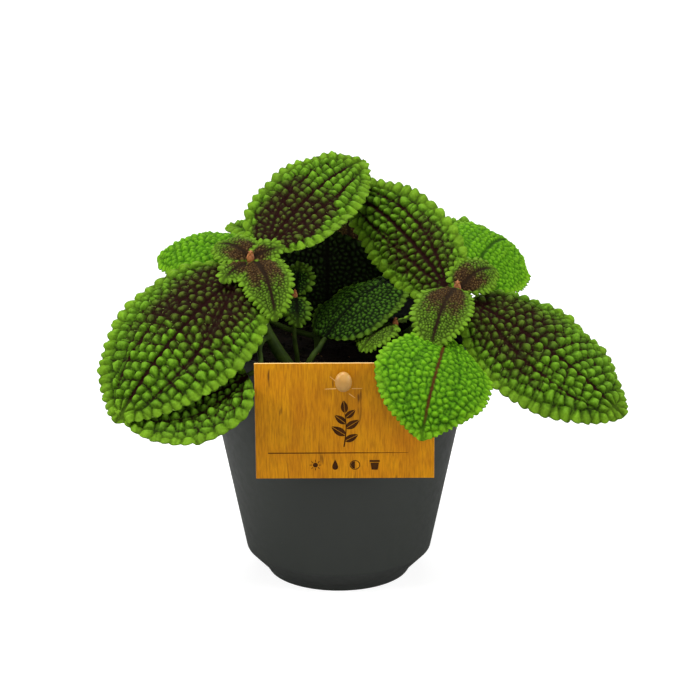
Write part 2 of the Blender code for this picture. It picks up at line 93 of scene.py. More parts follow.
# Soil and the crumbs that lie on it
SOIL_TOP = 98 * MM
SOIL_GAP = 0.3 * MM
SOIL_EASE = 0.1 * MM
SOIL_FOOT_HEIGHT = WALL_FOOT_HEIGHT + 0.5 * WALL
SOIL_SHOULDER_WIDTH = 0.5 * MM
SOIL_SHOULDER_DROP = 1.2 * MM
SOIL_LUMP = 1.6 * MM
SOIL_RIPPLE = 0.35 * MM
SOIL_GRAIN = 0.12 * MM
SOIL_SEED = 5
SOIL_RINGS = 60
SOIL_SECTORS = 200
CRUMBS = 420
CRUMB_RADIUS = 0.9 * MM
CRUMB_SIZES = (0.5, 1.7)
CRUMB_STRETCHES = ((0.7, 1.6), (0.6, 1.1), (0.45, 0.9))
CRUMB_DENTS = (0.82, 1.15)
CRUMB_REACH = 0.96
CRUMB_LIFT = 0.15

# Plant card with its print (places and sizes of the print in mm from the middle of the card) and its peg
CARD_WIDTH = 74 * MM
CARD_HEIGHT = 52 * MM
CARD_THICKNESS = 0.8 * MM
CARD_CENTRE = Vector((2.75, -60.95, 88.4)) * MM
CARD_LEAN = math.radians(5)
CARD_TURN = math.radians(0.3)
CARD_HOLE_RADIUS = 2.6 * MM
CARD_EDGE_ROUND = 0.12 * MM
CARD_SHARP_ANGLE = math.radians(35)
PRINT_SHARP_ANGLE = math.radians(30)
HOLE_ENDS = (-70 * MM, -55 * MM)
# Painted shade on the card: two heights, and how bright its colour is at each, so it is brighter toward the
# bottom and darker toward the top
CARD_PAINTED_SHADE_HEIGHTS = (60 * MM, 125 * MM)
CARD_PAINTED_SHADE = (1.3, 0.88)
SLITS = (
    ((-8.2, 14.5), (-3.4, 14.7)),
    ((7.2, 14.7), (3.0, 14.7)),
    ((-6.0, 20.1), (-3.2, 17.6)),
    ((4.4, 10.4), (1.8, 12.4)),
)
SLIT_WIDTHS = (0.15, 0.32, 0.36)
SLIT_STEPS = 6
INK_THICKNESS = 0.05 * MM
RULE_LEVEL = -14.4
RULE_ENDS = (-31.9, 26.3)
RULE_WIDTHS = (0.42, 0.42, 0.42, 0.3, 0.12)
RULE_STEPS = 40
SPRIG_FOOT = -11.6
STALK_HEIGHT = 15.17
STALK_STEPS = 30
STALK_WIDTHS = (0.55, 0.3)
STALK_SWING = 0.9
STALK_TURN = 2.6
STALK_OFFSET = 0.4
SPRIG_LEAVES = ((0.18, 28, 6.2), (0.36, 146, 7.0), (0.54, 34, 6.6), (0.7, 140, 6.0), (0.86, 42, 5.4))
TOP_LEAF_FOOT = (0.05, 0.2)
TOP_LEAF_TURN = 96
TOP_LEAF_LENGTH = 5.6
SPRIG_LEAF_STEPS = 16
SPRIG_LEAF_WIDTH = 0.24
SPRIG_LEAF_ENDS = (0.01, 0.99)
SPRIG_LEAF_SKEW = 0.8
SPRIG_LEAF_FULLNESS = 0.9
SPRIG_MIDRIB = (0.11, 0.13)
SIGN_LEVEL = -19.9
SIGN_GAP = 8.2
SIGN_LINE = 0.32
ROUND_STEPS = 25
RING_STEPS = 49
FILL_STEPS = 21
SUN_RADIUS = 1.05
SUN_RAYS = 8
RAY_ENDS = (1.5, 2.4)
RAY_WIDTHS = (SIGN_LINE, 0.24)
DROP_HALF_WIDTH = 1.7
DROP_TOP = 2.4
DROP_HEIGHT = 4.6
DROP_LEAST = 0.0004
DROP_NECK = 0.16
DROP_SWELL = 0.9
SHADE_RING = 2.0
SHADE_FILL = 1.7
FILL_TURN = 89
POT_SIGN_RIM = ((2.1, 2.2), (2.1, 1.3))
POT_SIGN_BODY = ((1.75, 1.0), (1.25, -2.2))
PEG_X = 2.2 * MM
PEG_WIDTH = 9 * MM
PEG_THICKNESS = 1.0 * MM
PEG_GAP = 0.3 * MM
PEG_FOOT = 101 * MM
KNOB_HEIGHT = 107 * MM
KNOB_NECK_RADIUS = 2.1 * MM
KNOB_CENTRE_Y = -66 * MM
KNOB_SIZE = Vector((7.0, 4.4, 8.7)) * MM
KNOB_SIDES = 36
KNOB_RINGS = 24
PEG_VOXEL = 0.22 * MM
PEG_SMOOTHING = 3

# Blades: thickness, thinner near the edge, how far side veins slant, and how wide the ends are
BLADE = 0.8 * MM
BLADE_EDGE = 0.35 * MM
BLADE_THINNING = 3 * MM
SLANT = 0.09
SLANT_FADE = 0.35
BASE_HALF_WIDTH = 1.9 * MM
TIP_HALF_WIDTH = 0.5 * MM
WIDTH_TO_END = 6
MIDRIB_STEPS = 120
OUTLINE_STEPS = 500
GRID_ACROSS = 0.46

# Veins: the strong side vein's path, and the width and depth of each kind of groove
LATERAL_REACH = 0.52
LATERAL_START = 3.4
LATERAL_END = (1, 0.8)
MIDRIB_GROOVE = 0.95 * MM
LATERAL_GROOVE = 0.75 * MM
SIDE_GROOVE = 0.5 * MM
MIDRIB_DEPTH = 0.92
LATERAL_DEPTH = 0.75
SIDE_DEPTH = 0.5

# Blisters: how far their rows lean to the tip, how regular they are and how they stand up
ROW_LEAN = 0.42
ROW_LEAN_FADE = 0.25
ROWS_BEFORE_BASE = 0.45
BASE_PITCH = 0.52
FULL_PITCH_FROM = (-0.1, 0.55)
TIP_PITCH_LOSS = 0.4
TIP_PITCH_FROM = 0.8
PITCH_AHEAD = 0.12
LAST_ROW_GAP = 0.4
SEED_SPAN = (0.06, 0.92)
SEED_START = 0.05
SEED_SETTLING = 8
MIDRIB_CLEAR = 0.3
SEED_DRIFT = 0.45
DRIFT_LENGTH = 2.3
DRIFT_FROM = (0.5, 2.5)
SEED_CLEAR = 0.55
POINTS_AT_ONCE = 4000
BLISTER_SPREAD = 0.85
DOME_ROUND = 0.42
DOME_CONE = 0.58
CROWN_LEAN = 0.4
BLISTER_LEVEL = 0.38
BLISTER_LEAST = 0.75
BLISTER_CHANCE = 0.45
EDGE_RELIEF = 0.5
EDGE_RELIEF_WIDTH = 7 * MM
UNDER_RELIEF = 0.7
EDGE_WAVE = 0.7 * MM
WAVE_TURNS = 19

# Teeth on the edge, and how far the blisters in them lie from it
TOOTH_PER_PITCH = 1.12
LEAST_TEETH = 6
TINY = 1e-12
TOOTH_LEAN = 1.5
TOOTH_JITTER = 0.14
TOOTH_TAPER = 0.25
TOOTH_LEVEL = 0.62
TOOTH_FADE = 5 * MM
TIP_TEETH = 0.35
TOOTH_ROOT = 7
EDGE_INSET = 0.45
EDGE_CLEAR = 0.64

# Maroon and bright rim: ends of the maroon middle, its strength in the side veins, and the rim in teeth
STAIN_WANDER = 0.16
STAIN_ACROSS = (0.95, 0.5)
STAIN_ALONG = (0.3, 0.74)
STAIN_LOSS = 0.9
STAIN_TEETH = (0.4, 1.3)
BASE_GAP_TEETH = 1.5
TIP_GAP_SHARE = 0.5
VEIN_STAIN_END = (1.0, 0.6)
MIDRIB_STAIN_END = (1.05, 0.7)
LATERAL_STAIN = 0.85
SIDE_STAIN = 0.7
RIM_LIGHT = 0.85
RIM_IN_GROOVE = 0.25
RIM_ON_CROWN = 0.75
RIM_TEETH = (1.3, 0.3)
RIM_WANDER = 9 * MM

# Outline of a blade: how full it is toward its base and toward its tip
BROAD = (0.36, 0.8)
OVATE = (0.6, 0.92)
POINTED = (0.46, 0.74)
ROUND = (0.36, 0.66)


def leaf(base, heading, rise, roll, size, droop, bend=(0, 0), outline=BROAD, **looks):
    """A blade in mm and degrees: rise at base and tip, droop of its two sides, sideways bend and twist."""
    blade = {
        "base": np.array(base) * MM,
        "heading": heading,
        "rise": rise,
        "roll": roll,
        "length": size[0] * MM,
        "width": size[1] * MM,
        "droop": droop,
        "bend": bend,
        "outline": outline,
        "finish": "leaf_dark",
        "pitch": 4.6 * MM,
        "relief": 3.2 * MM,
        "tooth": 1.6 * MM,
        "stain": 1.0,
        "shade": 0.0,
        "midrib": 0.9,
        "side_veins": 1.0,
        "jitter": 0.12,
        "mesh": 0.56 * MM,
    }
    blade.update(looks)
    blade.setdefault("tooth_pitch", TOOTH_PER_PITCH * blade["pitch"])
    blade.setdefault("slot", blade["finish"])
    return blade


# Looks that several blades share
MIDDLING = {"pitch": 4.1 * MM, "relief": 3.0 * MM, "tooth": 1.4 * MM, "jitter": 0.14}
PALE = {
    "finish": "leaf_pale",
    "pitch": 2.8 * MM,
    "relief": 1.5 * MM,
    "tooth": 1.5 * MM,
    "tooth_pitch": 3.0 * MM,
    "stain": 0.0,
    "midrib": 0.15,
    "side_veins": 0.45,
    "jitter": 0.2,
}
ROUGH_PALE = {
    **PALE,
    "pitch": 3.5 * MM,
    "relief": 2.0 * MM,
    "tooth": 1.4 * MM,
    "tooth_pitch": 3.6 * MM,
    "jitter": 0.14,
}
VEINED_PALE = {**PALE, "midrib": 0.5, "side_veins": 0.8}
# Blades inside the plant take the shaded tints, painted shade; DEEP_SHADED paints the whole blade nearly
# black
SHADED = {**PALE, "finish": "leaf_shaded", "slot": "leaf_dark", "pitch": 2.3 * MM, "midrib": 0.2}
DEEP_SHADED = {**SHADED, "shade": 0.92}
HIDDEN = {"mesh": 0.85 * MM, "stain": 0.7}
HIDDEN_PALE = {**PALE, "mesh": 0.8 * MM}
YOUNG = {
    "finish": "young_leaf",
    "pitch": 1.25 * MM,
    "relief": 0.8 * MM,
    "tooth": 2.3 * MM,
    "tooth_pitch": 2.7 * MM,
    "midrib": 0.6,
    "side_veins": 0.2,
    "jitter": 0.26,
    "mesh": 0.32 * MM,
}
ROUND_YOUNG_GREEN = {**YOUNG, "outline": ROUND, "stain": 0.2, "midrib": 0.3}
# Young blades inside the plant take the shaded tints too, painted shade
ROUND_YOUNG_SHADED = {**YOUNG, "outline": ROUND, "finish": "leaf_shaded", "stain": 0.25, "midrib": 0.3}

LEAVES = {
    "left_front": leaf((-40.6, -26, 142.4), -143, (-26, -47), -15, (86, 66), (20, 18), (12, -2)),
    "left_under": leaf(
        (-37.4, -56.6, 107), -172, (-32, 12), -22, (58, 47), (18, 12), (0, 0), ROUND, stain=0.5, **MIDDLING
    ),
    "top_left": leaf(
        (-30.8, -14.8, 149.0), 52, (37, 5), 6, (72, 45), (11, 8), (0, 16), ROUND, stain=1.25, **MIDDLING
    ),
    "back_left": leaf(
        (-43.8, -1, 142.4), 150, (28, -48), -3, (43, 46), (38, 26), (4, -8), ROUND, **ROUGH_PALE
    ),
    "top_right": leaf(
        (46.4, -15.9, 130.6), 129, (41, 4), -44, (80, 38), (18, 22), (0, -14), stain=0.8, **MIDDLING
    ),
    "back_right": leaf((56, -2, 130.5), 67, (38, -31), 26, (56, 47), (22, 25), (0, 4), BROAD, **PALE),
    "right": leaf((56, -18.5, 127.8), -26, (-20, -44), 20, (82, 63), (33, 24), (8, 4), POINTED, stain=0.9),
    "front_right": leaf(
        (45.2, -43.4, 119.4), -97, (2, -76), -16, (57, 50), (30, 12), (-21, 0), OVATE, **VEINED_PALE
    ),
    "inner_right": leaf((-5.6, -19.5, 111.5), 42, (45, -2), -8, (51, 46), (18, 20), (0, 4), **SHADED),
    "inner_left": leaf((-5, 16.6, 110.5), 90, (84, 84), 0, (37, 56), (8, 8), **DEEP_SHADED),
    "rear_left": leaf((-5, 35, 130.5), 150, (40, -24), 0, (56, 44), (22, 22), **HIDDEN),
    "rear_right": leaf((15.5, 33, 129.5), 28, (38, -22), 0, (60, 44), (22, 22), **HIDDEN),
    "rear": leaf((5, 43.5, 126), 92, (6, -58), 0, (66, 52), (22, 22), **HIDDEN),
    "low_back_left": leaf((-25, 39, 116.6), 124, (4, -46), 0, (56, 46), (20, 20), **HIDDEN_PALE),
    "low_back_right": leaf((21, 34, 116), 50, (6, -40), 0, (58, 46), (20, 20), **HIDDEN_PALE),
    "low_left": leaf((-44, 8, 116.8), 172, (6, -50), 0, (50, 44), (20, 20), **HIDDEN_PALE),
    "low_right": leaf((44, 10, 116.8), 8, (6, -50), 0, (50, 42), (20, 20), **HIDDEN_PALE),
}

# Young pairs of blades with the bud between them
TIPS = {
    "shoot_tip_left": {
        "bud": ((-36.7, -22.2, 146.8), (2.6, 2.6, 3.2)),
        "blades": [
            leaf((-36.9, -22.2, 146.8), 142, (44, -34), -12, (22, 22), (24, 21), (0, -5), **YOUNG),
            leaf((-35.2, -23.2, 146.4), -68, (4, -74), 14, (36, 22), (22, 26), (-4, 3), **YOUNG),
            leaf((-37.7, -24.2, 145.6), -134, (4, -42), -20, (17, 14), (20, 20), **YOUNG),
            leaf((-36.2, -22.4, 147.2), 6, (34, 0), 36, (15, 13), (20, 20), **YOUNG),
        ],
    },
    "shoot_tip_right": {
        "bud": ((50.0, -21.6, 133.4), (2.6, 2.6, 3.2)),
        "blades": [
            leaf((49.4, -22.8, 134.4), -108, (8, -66), -8, (42, 25), (12, 12), (-4, 0), OVATE, **YOUNG),
            leaf((51.2, -20.2, 132.6), 43, (50, -29), 24, (25, 21), (19, 25), (0, 5), **YOUNG),
        ],
    },
    "shoot_tip_back": {
        "bud": ((5, 32, 134.5), (2.4, 2.4, 3.0)),
        "blades": [
            leaf((5, 33, 134), 100, (72, 40), 0, (26, 22), (20, 20), **YOUNG),
            leaf((5, 31, 134), -80, (40, -30), 0, (11, 10), (20, 20), **YOUNG),
        ],
    },
}

# Stems in mm: points up from the soil (the first has no height), radii, and how far up the stalks leave
STEMS = {
    "stem_left": {
        "path": [(-21, -30), (-26, -30.5, 110), (-32, -29.5, 122), (-36, -25.5, 134), (-37, -22.5, 143)],
        "radius": (3.1, 1.9),
        "petioles": {"left_front": 0.93, "top_left": 0.96, "left_under": 0.34, "back_left": 0.66},
        "over": {"left_under": (-32.5, -47.5, 116)},
    },
    "stem_right": {
        "path": [(22, -6), (30, -8, 109), (40, -12.5, 119), (47, -18, 126), (49.6, -21, 129.6)],
        "radius": (3.0, 1.9),
        "petioles": {
            "top_right": 0.80,
            "right": 0.92,
            "back_right": 0.66,
            "front_right": 0.55,
            "low_right": 0.20,
        },
    },
    "stem_back": {
        "path": [(4, 22), (5, 25, 112), (5, 30, 123), (5, 31.6, 130.6)],
        "radius": (2.8, 1.8),
        "petioles": {
            "rear_left": 0.72,
            "rear_right": 0.74,
            "rear": 0.62,
            "low_back_left": 0.22,
            "low_back_right": 0.26,
        },
    },
    "stem_inner_right": {
        "path": [(-13, -29), (-11, -28, 105.5), (-9, -25.5, 107.5)],
        "radius": (1.5, 1.2),
        "petioles": {"inner_right": 0.9},
    },
    "stem_inner_left": {
        "path": [(-9, 1), (-10.0, 2.2, 109)],
        "radius": (1.8, 1.4),
        "petioles": {"inner_left": 0.9, "low_left": 0.4},
    },
    "shoot_inner_left": {
        "path": [(-17.5, -18), (-18.6, -17.6, 110), (-18.6, -15.5, 127.5)],
        "radius": (1.1, 1.0),
        "petioles": {},
        "tip": {
            "bud": ((-18.4, -15.3, 128.5), (1.8, 1.8, 2.4)),
            "blades": [
                leaf((-18.2, -14.5, 128.5), 80, (66, 30), 0, (16, 14.5), (14, 14), **ROUND_YOUNG_SHADED),
                leaf((-18.0, -16.1, 128.1), -84, (-20, -76), 0, (15, 12), (16, 16), **ROUND_YOUNG_SHADED),
            ],
        },
    },
    "shoot_inner_right": {
        "path": [(25, -22), (24.6, -22.5, 110), (24, -23, 117)],
        "radius": (1.1, 1.0),
        "petioles": {},
        "tip": {
            "bud": ((24, -23, 118.4), (2.0, 2.0, 2.6)),
            "blades": [
                leaf((23, -24.2, 118.8), -146, (0, -60), 0, (20, 19), (18, 18), **ROUND_YOUNG_GREEN),
                leaf((25.4, -22.4, 119), 10, (40, -20), -30, (12, 9), (18, 18), **ROUND_YOUNG_GREEN),
            ],
        },
    },
}

# Stems and leaf stalks: where they start and go straight, and how a stalk bends into its blade
STEM_FOOT = 89 * MM
STEM_STRAIGHT = 102 * MM
PETIOLE_GAP = 0.2 * MM
PETIOLE_RADIUS = 1.1 * MM
PETIOLE_SWELL = 1.15
PETIOLE_LEAD = 5 * MM
PETIOLE_LEAD_SHARE = 0.4
PETIOLE_SAG = 0.06
STEM_STRAIGHT_KNOTS = 2
STEM_VOXEL = 0.42 * MM

# Scales of a bud: turns in radians, lean and curl in degrees, and sizes as shares of the bud's
BUD_RINGS = 14
BUD_SIDES = 14
BUD_LEAN = 26
BUD_CURL = -46
BUD_TURNS = (0.4, 2.5, 4.6)
SCALE_LENGTH = 2.1
SCALE_WIDTH = 1.5
SCALE_THICKNESS = 0.42
SCALE_SPAN = (0.12, 0.86)
SCALE_FULLNESS = 0.8
SCALE_TAPER = 0.3

# Starts of the random draws of the young blades
TIP_SEED = 40
TIP_SEED_STEP = 7


def smooth(low, high, value):
    """0 below low, 1 above high and a soft step between."""
    part = np.clip((value - low) / (high - low), 0, 1)
    return part * part * (3 - 2 * part)


def colour(red, green, blue):
    """A linear colour from the 0 to 255 values seen on a screen."""
    shares = np.array((red, green, blue)) / 255
    linear = np.where(shares <= 0.04045, shares / 12.92, ((shares + 0.055) / 1.055) ** 2.4)
    return (*(float(value) for value in linear), 1.0)


# Shader nodes

def fill(tree, made, **inputs):
    """The node with inputs given by name or by number (i0, i1), each linked where its value is a socket."""
    for name, value in inputs.items():
        socket = made.inputs[int(name[1:])] if name[1:].isdigit() else made.inputs[name.replace("_", " ")]
        if isinstance(value, bpy.types.NodeSocket):
            tree.links.new(value, socket)
        else:
            socket.default_value = value
    return made


def add(tree, kind, settings=None, **inputs):
    """A new node with its settings and inputs."""
    made = tree.nodes.new("ShaderNode" + kind)
    for name, value in (settings or {}).items():
        setattr(made, name, value)
    return fill(tree, made, **inputs)


def maths(tree, operation, first, second=0.5, clamp=False):
    made = add(tree, "Math", {"operation": operation, "use_clamp": clamp}, i0=first, i1=second)
    return made.outputs[0]


def blend(tree, share, first, second, mode="MIX"):
    """A mix of two colours."""
    made = add(tree, "Mix", {"data_type": "RGBA", "blend_type": mode}, i0=share, i6=first, i7=second)
    return made.outputs[2]


def brightened(tree, tint, light):
    """A colour times a grey value."""
    grey = add(tree, "CombineColor", None, i0=light, i1=light, i2=light).outputs[0]
    return blend(tree, 1.0, tint, grey, "MULTIPLY")


def stretch(tree, value, low, high, to_low=0.0, to_high=1.0):
    """The value moved from one range to another, kept inside it."""
    ends = {"From_Min": low, "From_Max": high, "To_Min": to_low, "To_Max": to_high}
    return add(tree, "MapRange", None, Value=value, **ends).outputs[0]


def noise(tree, place, scale, detail=3.0, rough=0.55):
    made = add(tree, "TexNoise", None, Vector=place, Scale=scale, Detail=detail, Roughness=rough)
    return made.outputs["Fac"]


def attribute(tree, name):
    return add(tree, "Attribute", {"attribute_name": name}).outputs["Fac"]


def new_group(name, inputs, outputs):
    """An empty shader node group with its sockets, and its two end nodes."""
    group = bpy.data.node_groups.new(name, "ShaderNodeTree")
    for label, kind, default in inputs:
        socket = group.interface.new_socket(name=label, in_out="INPUT", socket_type="NodeSocket" + kind)
        socket.default_value = default
    for label, kind in outputs:
        group.interface.new_socket(name=label, in_out="OUTPUT", socket_type="NodeSocket" + kind)
    return group, group.nodes.new("NodeGroupInput"), group.nodes.new("NodeGroupOutput")


def place_group(tree, group, **inputs):
    return add(tree, "Group", {"node_tree": group}, **inputs)


def new_material(name, **shader_values):
    """A material with its plain shader values set on the shader itself."""
    material = bpy.data.materials.new(name)
    material.use_nodes = True
    tree = material.node_tree
    return material, tree, fill(tree, tree.nodes["Principled BSDF"], **shader_values)


def bump(tree, height, distance, strength=1.0):
    return add(tree, "Bump", None, Height=height, Distance=distance, Strength=strength).outputs[0]


# Scale of the coarse unevenness as a share of the fine one's
COARSE_SCALE = 0.12


def make_grain_group():
    """Fine and coarse unevenness at a chosen scale: a mask for tint and a height for bump."""
    group, start, end = new_group(
        "grain",
        [("Scale", "Float", 1000.0), ("Coarse Share", "Float", 0.5)],
        [("Mask", "Float"), ("Height", "Float")],
    )
    place = add(group, "TexCoord").outputs["Object"]
    scale = start.outputs["Scale"]
    fine = noise(group, place, scale, detail=4.0, rough=0.6)
    coarse_scale = maths(group, "MULTIPLY", scale, COARSE_SCALE)
    coarse = noise(group, place, coarse_scale, detail=3.0, rough=0.5)
    mixed = add(group, "Mix", None, i0=start.outputs["Coarse Share"], i2=fine, i3=coarse).outputs[0]
    group.links.new(coarse, end.inputs["Mask"])
    group.links.new(mixed, end.inputs["Height"])
    return group


# Where the values of a noise mostly lie, and the middle of that range
NOISE_SPAN = (0.3, 0.7)
NOISE_MIDDLE = (0.35, 0.65)

# Blister tint: the mottle's scale, its share of the height and light, the light of each blister, the ends
# of each ramp, and how much further up a stained groove reaches
MOTTLE_SCALE = 900.0
MOTTLE_HEIGHT = 0.14
MOTTLE_LIGHT = (0.86, 1.12)
BLISTER_LIGHT = (0.84, 1.14)
GROOVE_STAINED = (0.12, 0.5)
FLANK_STAINED = (0.4, 1.0)
CROWN_STAINED = (0.5, 1.0)
GROOVE_TO_FLANK = (0.1, 0.38)
FLANK_TO_CROWN = (0.42, 0.85)
CROWN_MASK = (0.3, 1.0)
STAIN_SPREAD = 0.1


def make_blister_group():
    """Tint of a blistered blade from the values that its mesh carries."""
    group, start, end = new_group(
        "blister_tint",
        [(label, "Color", (0.5, 0.5, 0.5, 1.0)) for label in LEAF_TINTS],
        [("Color", "Color"), ("Height", "Float"), ("Crown Mask", "Float")],
    )
    given = start.outputs
    rise, stain, speck = (attribute(group, name) for name in ("rise", "stain", "speck"))
    place = add(group, "TexCoord").outputs["Object"]
    mottle = noise(group, place, MOTTLE_SCALE, detail=4.0)
    uneven = stretch(group, mottle, *NOISE_SPAN, -MOTTLE_HEIGHT, MOTTLE_HEIGHT)
    height = maths(group, "ADD", rise, uneven, clamp=True)
    groove = blend(group, stretch(group, stain, *GROOVE_STAINED), given["Groove"], given["Stained Groove"])
    flank = blend(group, stretch(group, stain, *FLANK_STAINED), given["Flank"], given["Stained Flank"])
    crown = blend(group, stretch(group, stain, *CROWN_STAINED), given["Crown"], given["Stained Crown"])
    sunk = maths(group, "SUBTRACT", height, maths(group, "MULTIPLY", stain, STAIN_SPREAD), clamp=True)
    low_part = blend(group, stretch(group, sunk, *GROOVE_TO_FLANK), groove, flank)
    whole = blend(group, stretch(group, sunk, *FLANK_TO_CROWN), low_part, crown)
    rimmed = blend(group, attribute(group, "rim"), whole, given["Rim"])
    mottled = stretch(group, mottle, *NOISE_SPAN, *MOTTLE_LIGHT)
    light = maths(group, "MULTIPLY", mottled, stretch(group, speck, 0.0, 1.0, *BLISTER_LIGHT))
    sided = blend(group, attribute(group, "under"), brightened(group, rimmed, light), given["Under"])
    group.links.new(sided, end.inputs["Color"])
    group.links.new(mottle, end.inputs["Height"])
    group.links.new(stretch(group, height, *CROWN_MASK), end.inputs["Crown Mask"])
    return group


# Leaf colours as seen on a screen, in the order of the tints
LEAF_TINTS = (
    "Groove", "Flank", "Crown", "Stained Groove", "Stained Flank", "Stained Crown",
    "Rim", "Under",
)
DARK_LEAF = (
    (26, 40, 2), (58, 90, 6), (92, 134, 26), (28, 4, 2), (32, 24, 4), (68, 84, 20),
    (98, 134, 22), (100, 126, 50),
)
PALE_LEAF = (
    (34, 68, 1), (62, 110, 4), (92, 142, 14), (70, 34, 10), (76, 84, 14), (92, 134, 26),
    (106, 154, 20), (112, 150, 56),
)
# Painted shade: darker copies of the leaf tints for blades inside the plant, with near-black stained tints
SHADED_LEAF = (
    (5, 11, 1), (16, 32, 3), (56, 92, 18), (7, 7, 1), (11, 16, 2), (24, 36, 8),
    (78, 108, 22), (26, 42, 8),
)
YOUNG_LEAF = (
    (28, 38, 1), (50, 72, 6), (82, 114, 22), (26, 13, 2), (48, 30, 8), (84, 66, 30),
    (94, 132, 22), (104, 134, 50),
)


# Roughness of a blade in its grooves and on its crowns, and how far light goes in it
LEAF_ROUGHNESS = (0.75, 0.45)
LEAF_GLOW_DEPTH = 0.8 * MM
LEAF_GLOW_RADII = (0.9, 1.0, 0.2)


def make_leaf_material(name, group, tints, **shader_values):
    values = {"Specular_IOR_Level": 0.07, "Subsurface_Weight": 0.02, **shader_values}
    material, tree, shader = new_material(name, **values)
    fill(tree, shader, Subsurface_Radius=LEAF_GLOW_RADII, Subsurface_Scale=LEAF_GLOW_DEPTH)
    tint = place_group(tree, group, **{label: colour(*shown) for label, shown in zip(LEAF_TINTS, tints)})
    rough = stretch(tree, tint.outputs["Crown Mask"], 0.0, 1.0, *LEAF_ROUGHNESS)
    downy = bump(tree, tint.outputs["Height"], distance=0.35 * MM, strength=0.8)
    fill(tree, shader, Base_Color=tint.outputs["Color"], Roughness=rough, Normal=downy)
    return material


def make_leaf_materials():
    group = make_blister_group()
    down = {"Sheen_Weight": 0.035, "Sheen_Roughness": 0.5, "Sheen_Tint": colour(205, 190, 150)}
    dull = {"Specular_IOR_Level": 0.05}
    return {
        "leaf_dark": make_leaf_material("blistered_dark_leaf", group, DARK_LEAF),
        "leaf_pale": make_leaf_material("blistered_pale_leaf", group, PALE_LEAF),
        # Painted shade: the darker leaf material for blades inside the plant
        "leaf_shaded": make_leaf_material("blistered_shaded_leaf", group, SHADED_LEAF, **dull),
        "young_leaf": make_leaf_material("downy_young_leaf", group, YOUNG_LEAF, **down),
    }


# Pot plastic: screen colours, roughness, and the rare specks of dust (scale, ends of the mask, patches)
PLASTIC_DARK = (42, 45, 42)
PLASTIC_LIGHT = (50, 53, 49)
PLASTIC_ROUGHNESS = (0.5, 0.62)
DUST = (96, 94, 86)
DUST_SCALE = 260.0
DUST_ENDS = (0.05, 0.02)
DUST_PATCH_SCALE = 90.0
DUST_PATCH_ENDS = (0.56, 0.62)


def make_pot_material(grain):
    material, tree, shader = new_material("matte_anthracite_plastic", Specular_IOR_Level=0.35)
    fine = place_group(tree, grain, Scale=2600.0, Coarse_Share=0.35)
    base = blend(tree, fine.outputs["Mask"], colour(*PLASTIC_DARK), colour(*PLASTIC_LIGHT))
    place = add(tree, "TexCoord").outputs["Object"]
    cells = add(tree, "TexVoronoi", None, Vector=place, Scale=DUST_SCALE, Randomness=1.0)
    dust = stretch(tree, cells.outputs["Distance"], *DUST_ENDS)
    rare = stretch(tree, noise(tree, place, DUST_PATCH_SCALE, detail=2.0), *DUST_PATCH_ENDS)
    dusty = blend(tree, maths(tree, "MULTIPLY", dust, rare), base, colour(*DUST))
    rough = stretch(tree, fine.outputs["Mask"], *NOISE_SPAN, *PLASTIC_ROUGHNESS)
    pitted = bump(tree, fine.outputs["Height"], distance=0.05 * MM, strength=0.6)
    fill(tree, shader, Base_Color=dusty, Roughness=rough, Normal=pitted)
    return material


# Soil: screen colours, roughness, and from which speck value a crumb turns from soil to bark
SOIL_DARK = (14, 9, 5)
SOIL_LIGHT = (34, 23, 14)
SOIL_ROUGHNESS = (0.8, 1.0)
BARK = (120, 88, 56)
BARK_FROM = (0.93, 0.97)


def make_soil_material(grain):
    material, tree, shader = new_material("peat_soil", Specular_IOR_Level=0.2)
    fine = place_group(tree, grain, Scale=1500.0, Coarse_Share=0.4)
    share = stretch(tree, fine.outputs["Mask"], *NOISE_MIDDLE)
    base = blend(tree, share, colour(*SOIL_DARK), colour(*SOIL_LIGHT))
    bits = stretch(tree, attribute(tree, "speck"), *BARK_FROM)
    barky = blend(tree, bits, base, colour(*BARK))
    rough = stretch(tree, fine.outputs["Height"], *NOISE_SPAN, *SOIL_ROUGHNESS)
    crumbly = bump(tree, fine.outputs["Height"], distance=0.5 * MM)
    fill(tree, shader, Base_Color=barky, Roughness=rough, Normal=crumbly)
    return material


def upright_grain(tree, place, share, scale, detail, rough=0.55):
    """A noise drawn out up and down, by the share that is left of its height."""
    drawn = add(tree, "Mapping", None, Vector=place, Scale=(1.0, 1.0, share)).outputs[0]
    return noise(tree, drawn, scale, detail, rough)


# Printed wood: each layer's height share, scale, detail and roughness of noise, then its mask and colour
BOARDS = (0.06, 130.0, 2.0)
FIBRES = (0.06, 1500.0, 4.0, 0.6)
STREAKS = (0.14, 330.0, 2.5)
PATCH_SCALE = 70.0
PATCH_MASK = (0.4, 0.7, 0.0, 0.5)
FIBRE_MASK = (0.4, 0.66, 0.0, 0.6)
STREAK_MASK = (0.65, 0.73, 0.0, 0.8)
CUT_EDGE_MASK = (0.5, 0.7)
WOOD_BROWN = (186, 121, 1)
WOOD_YELLOW = (200, 137, 2)
PATCH_BROWN = (178, 104, 2)
FIBRE_BROWN = (140, 82, 2)
STREAK_BROWN = (70, 36, 4)
CARD_CORE = (232, 190, 124)
CARD_ROUGHNESS = (0.42, 0.56)


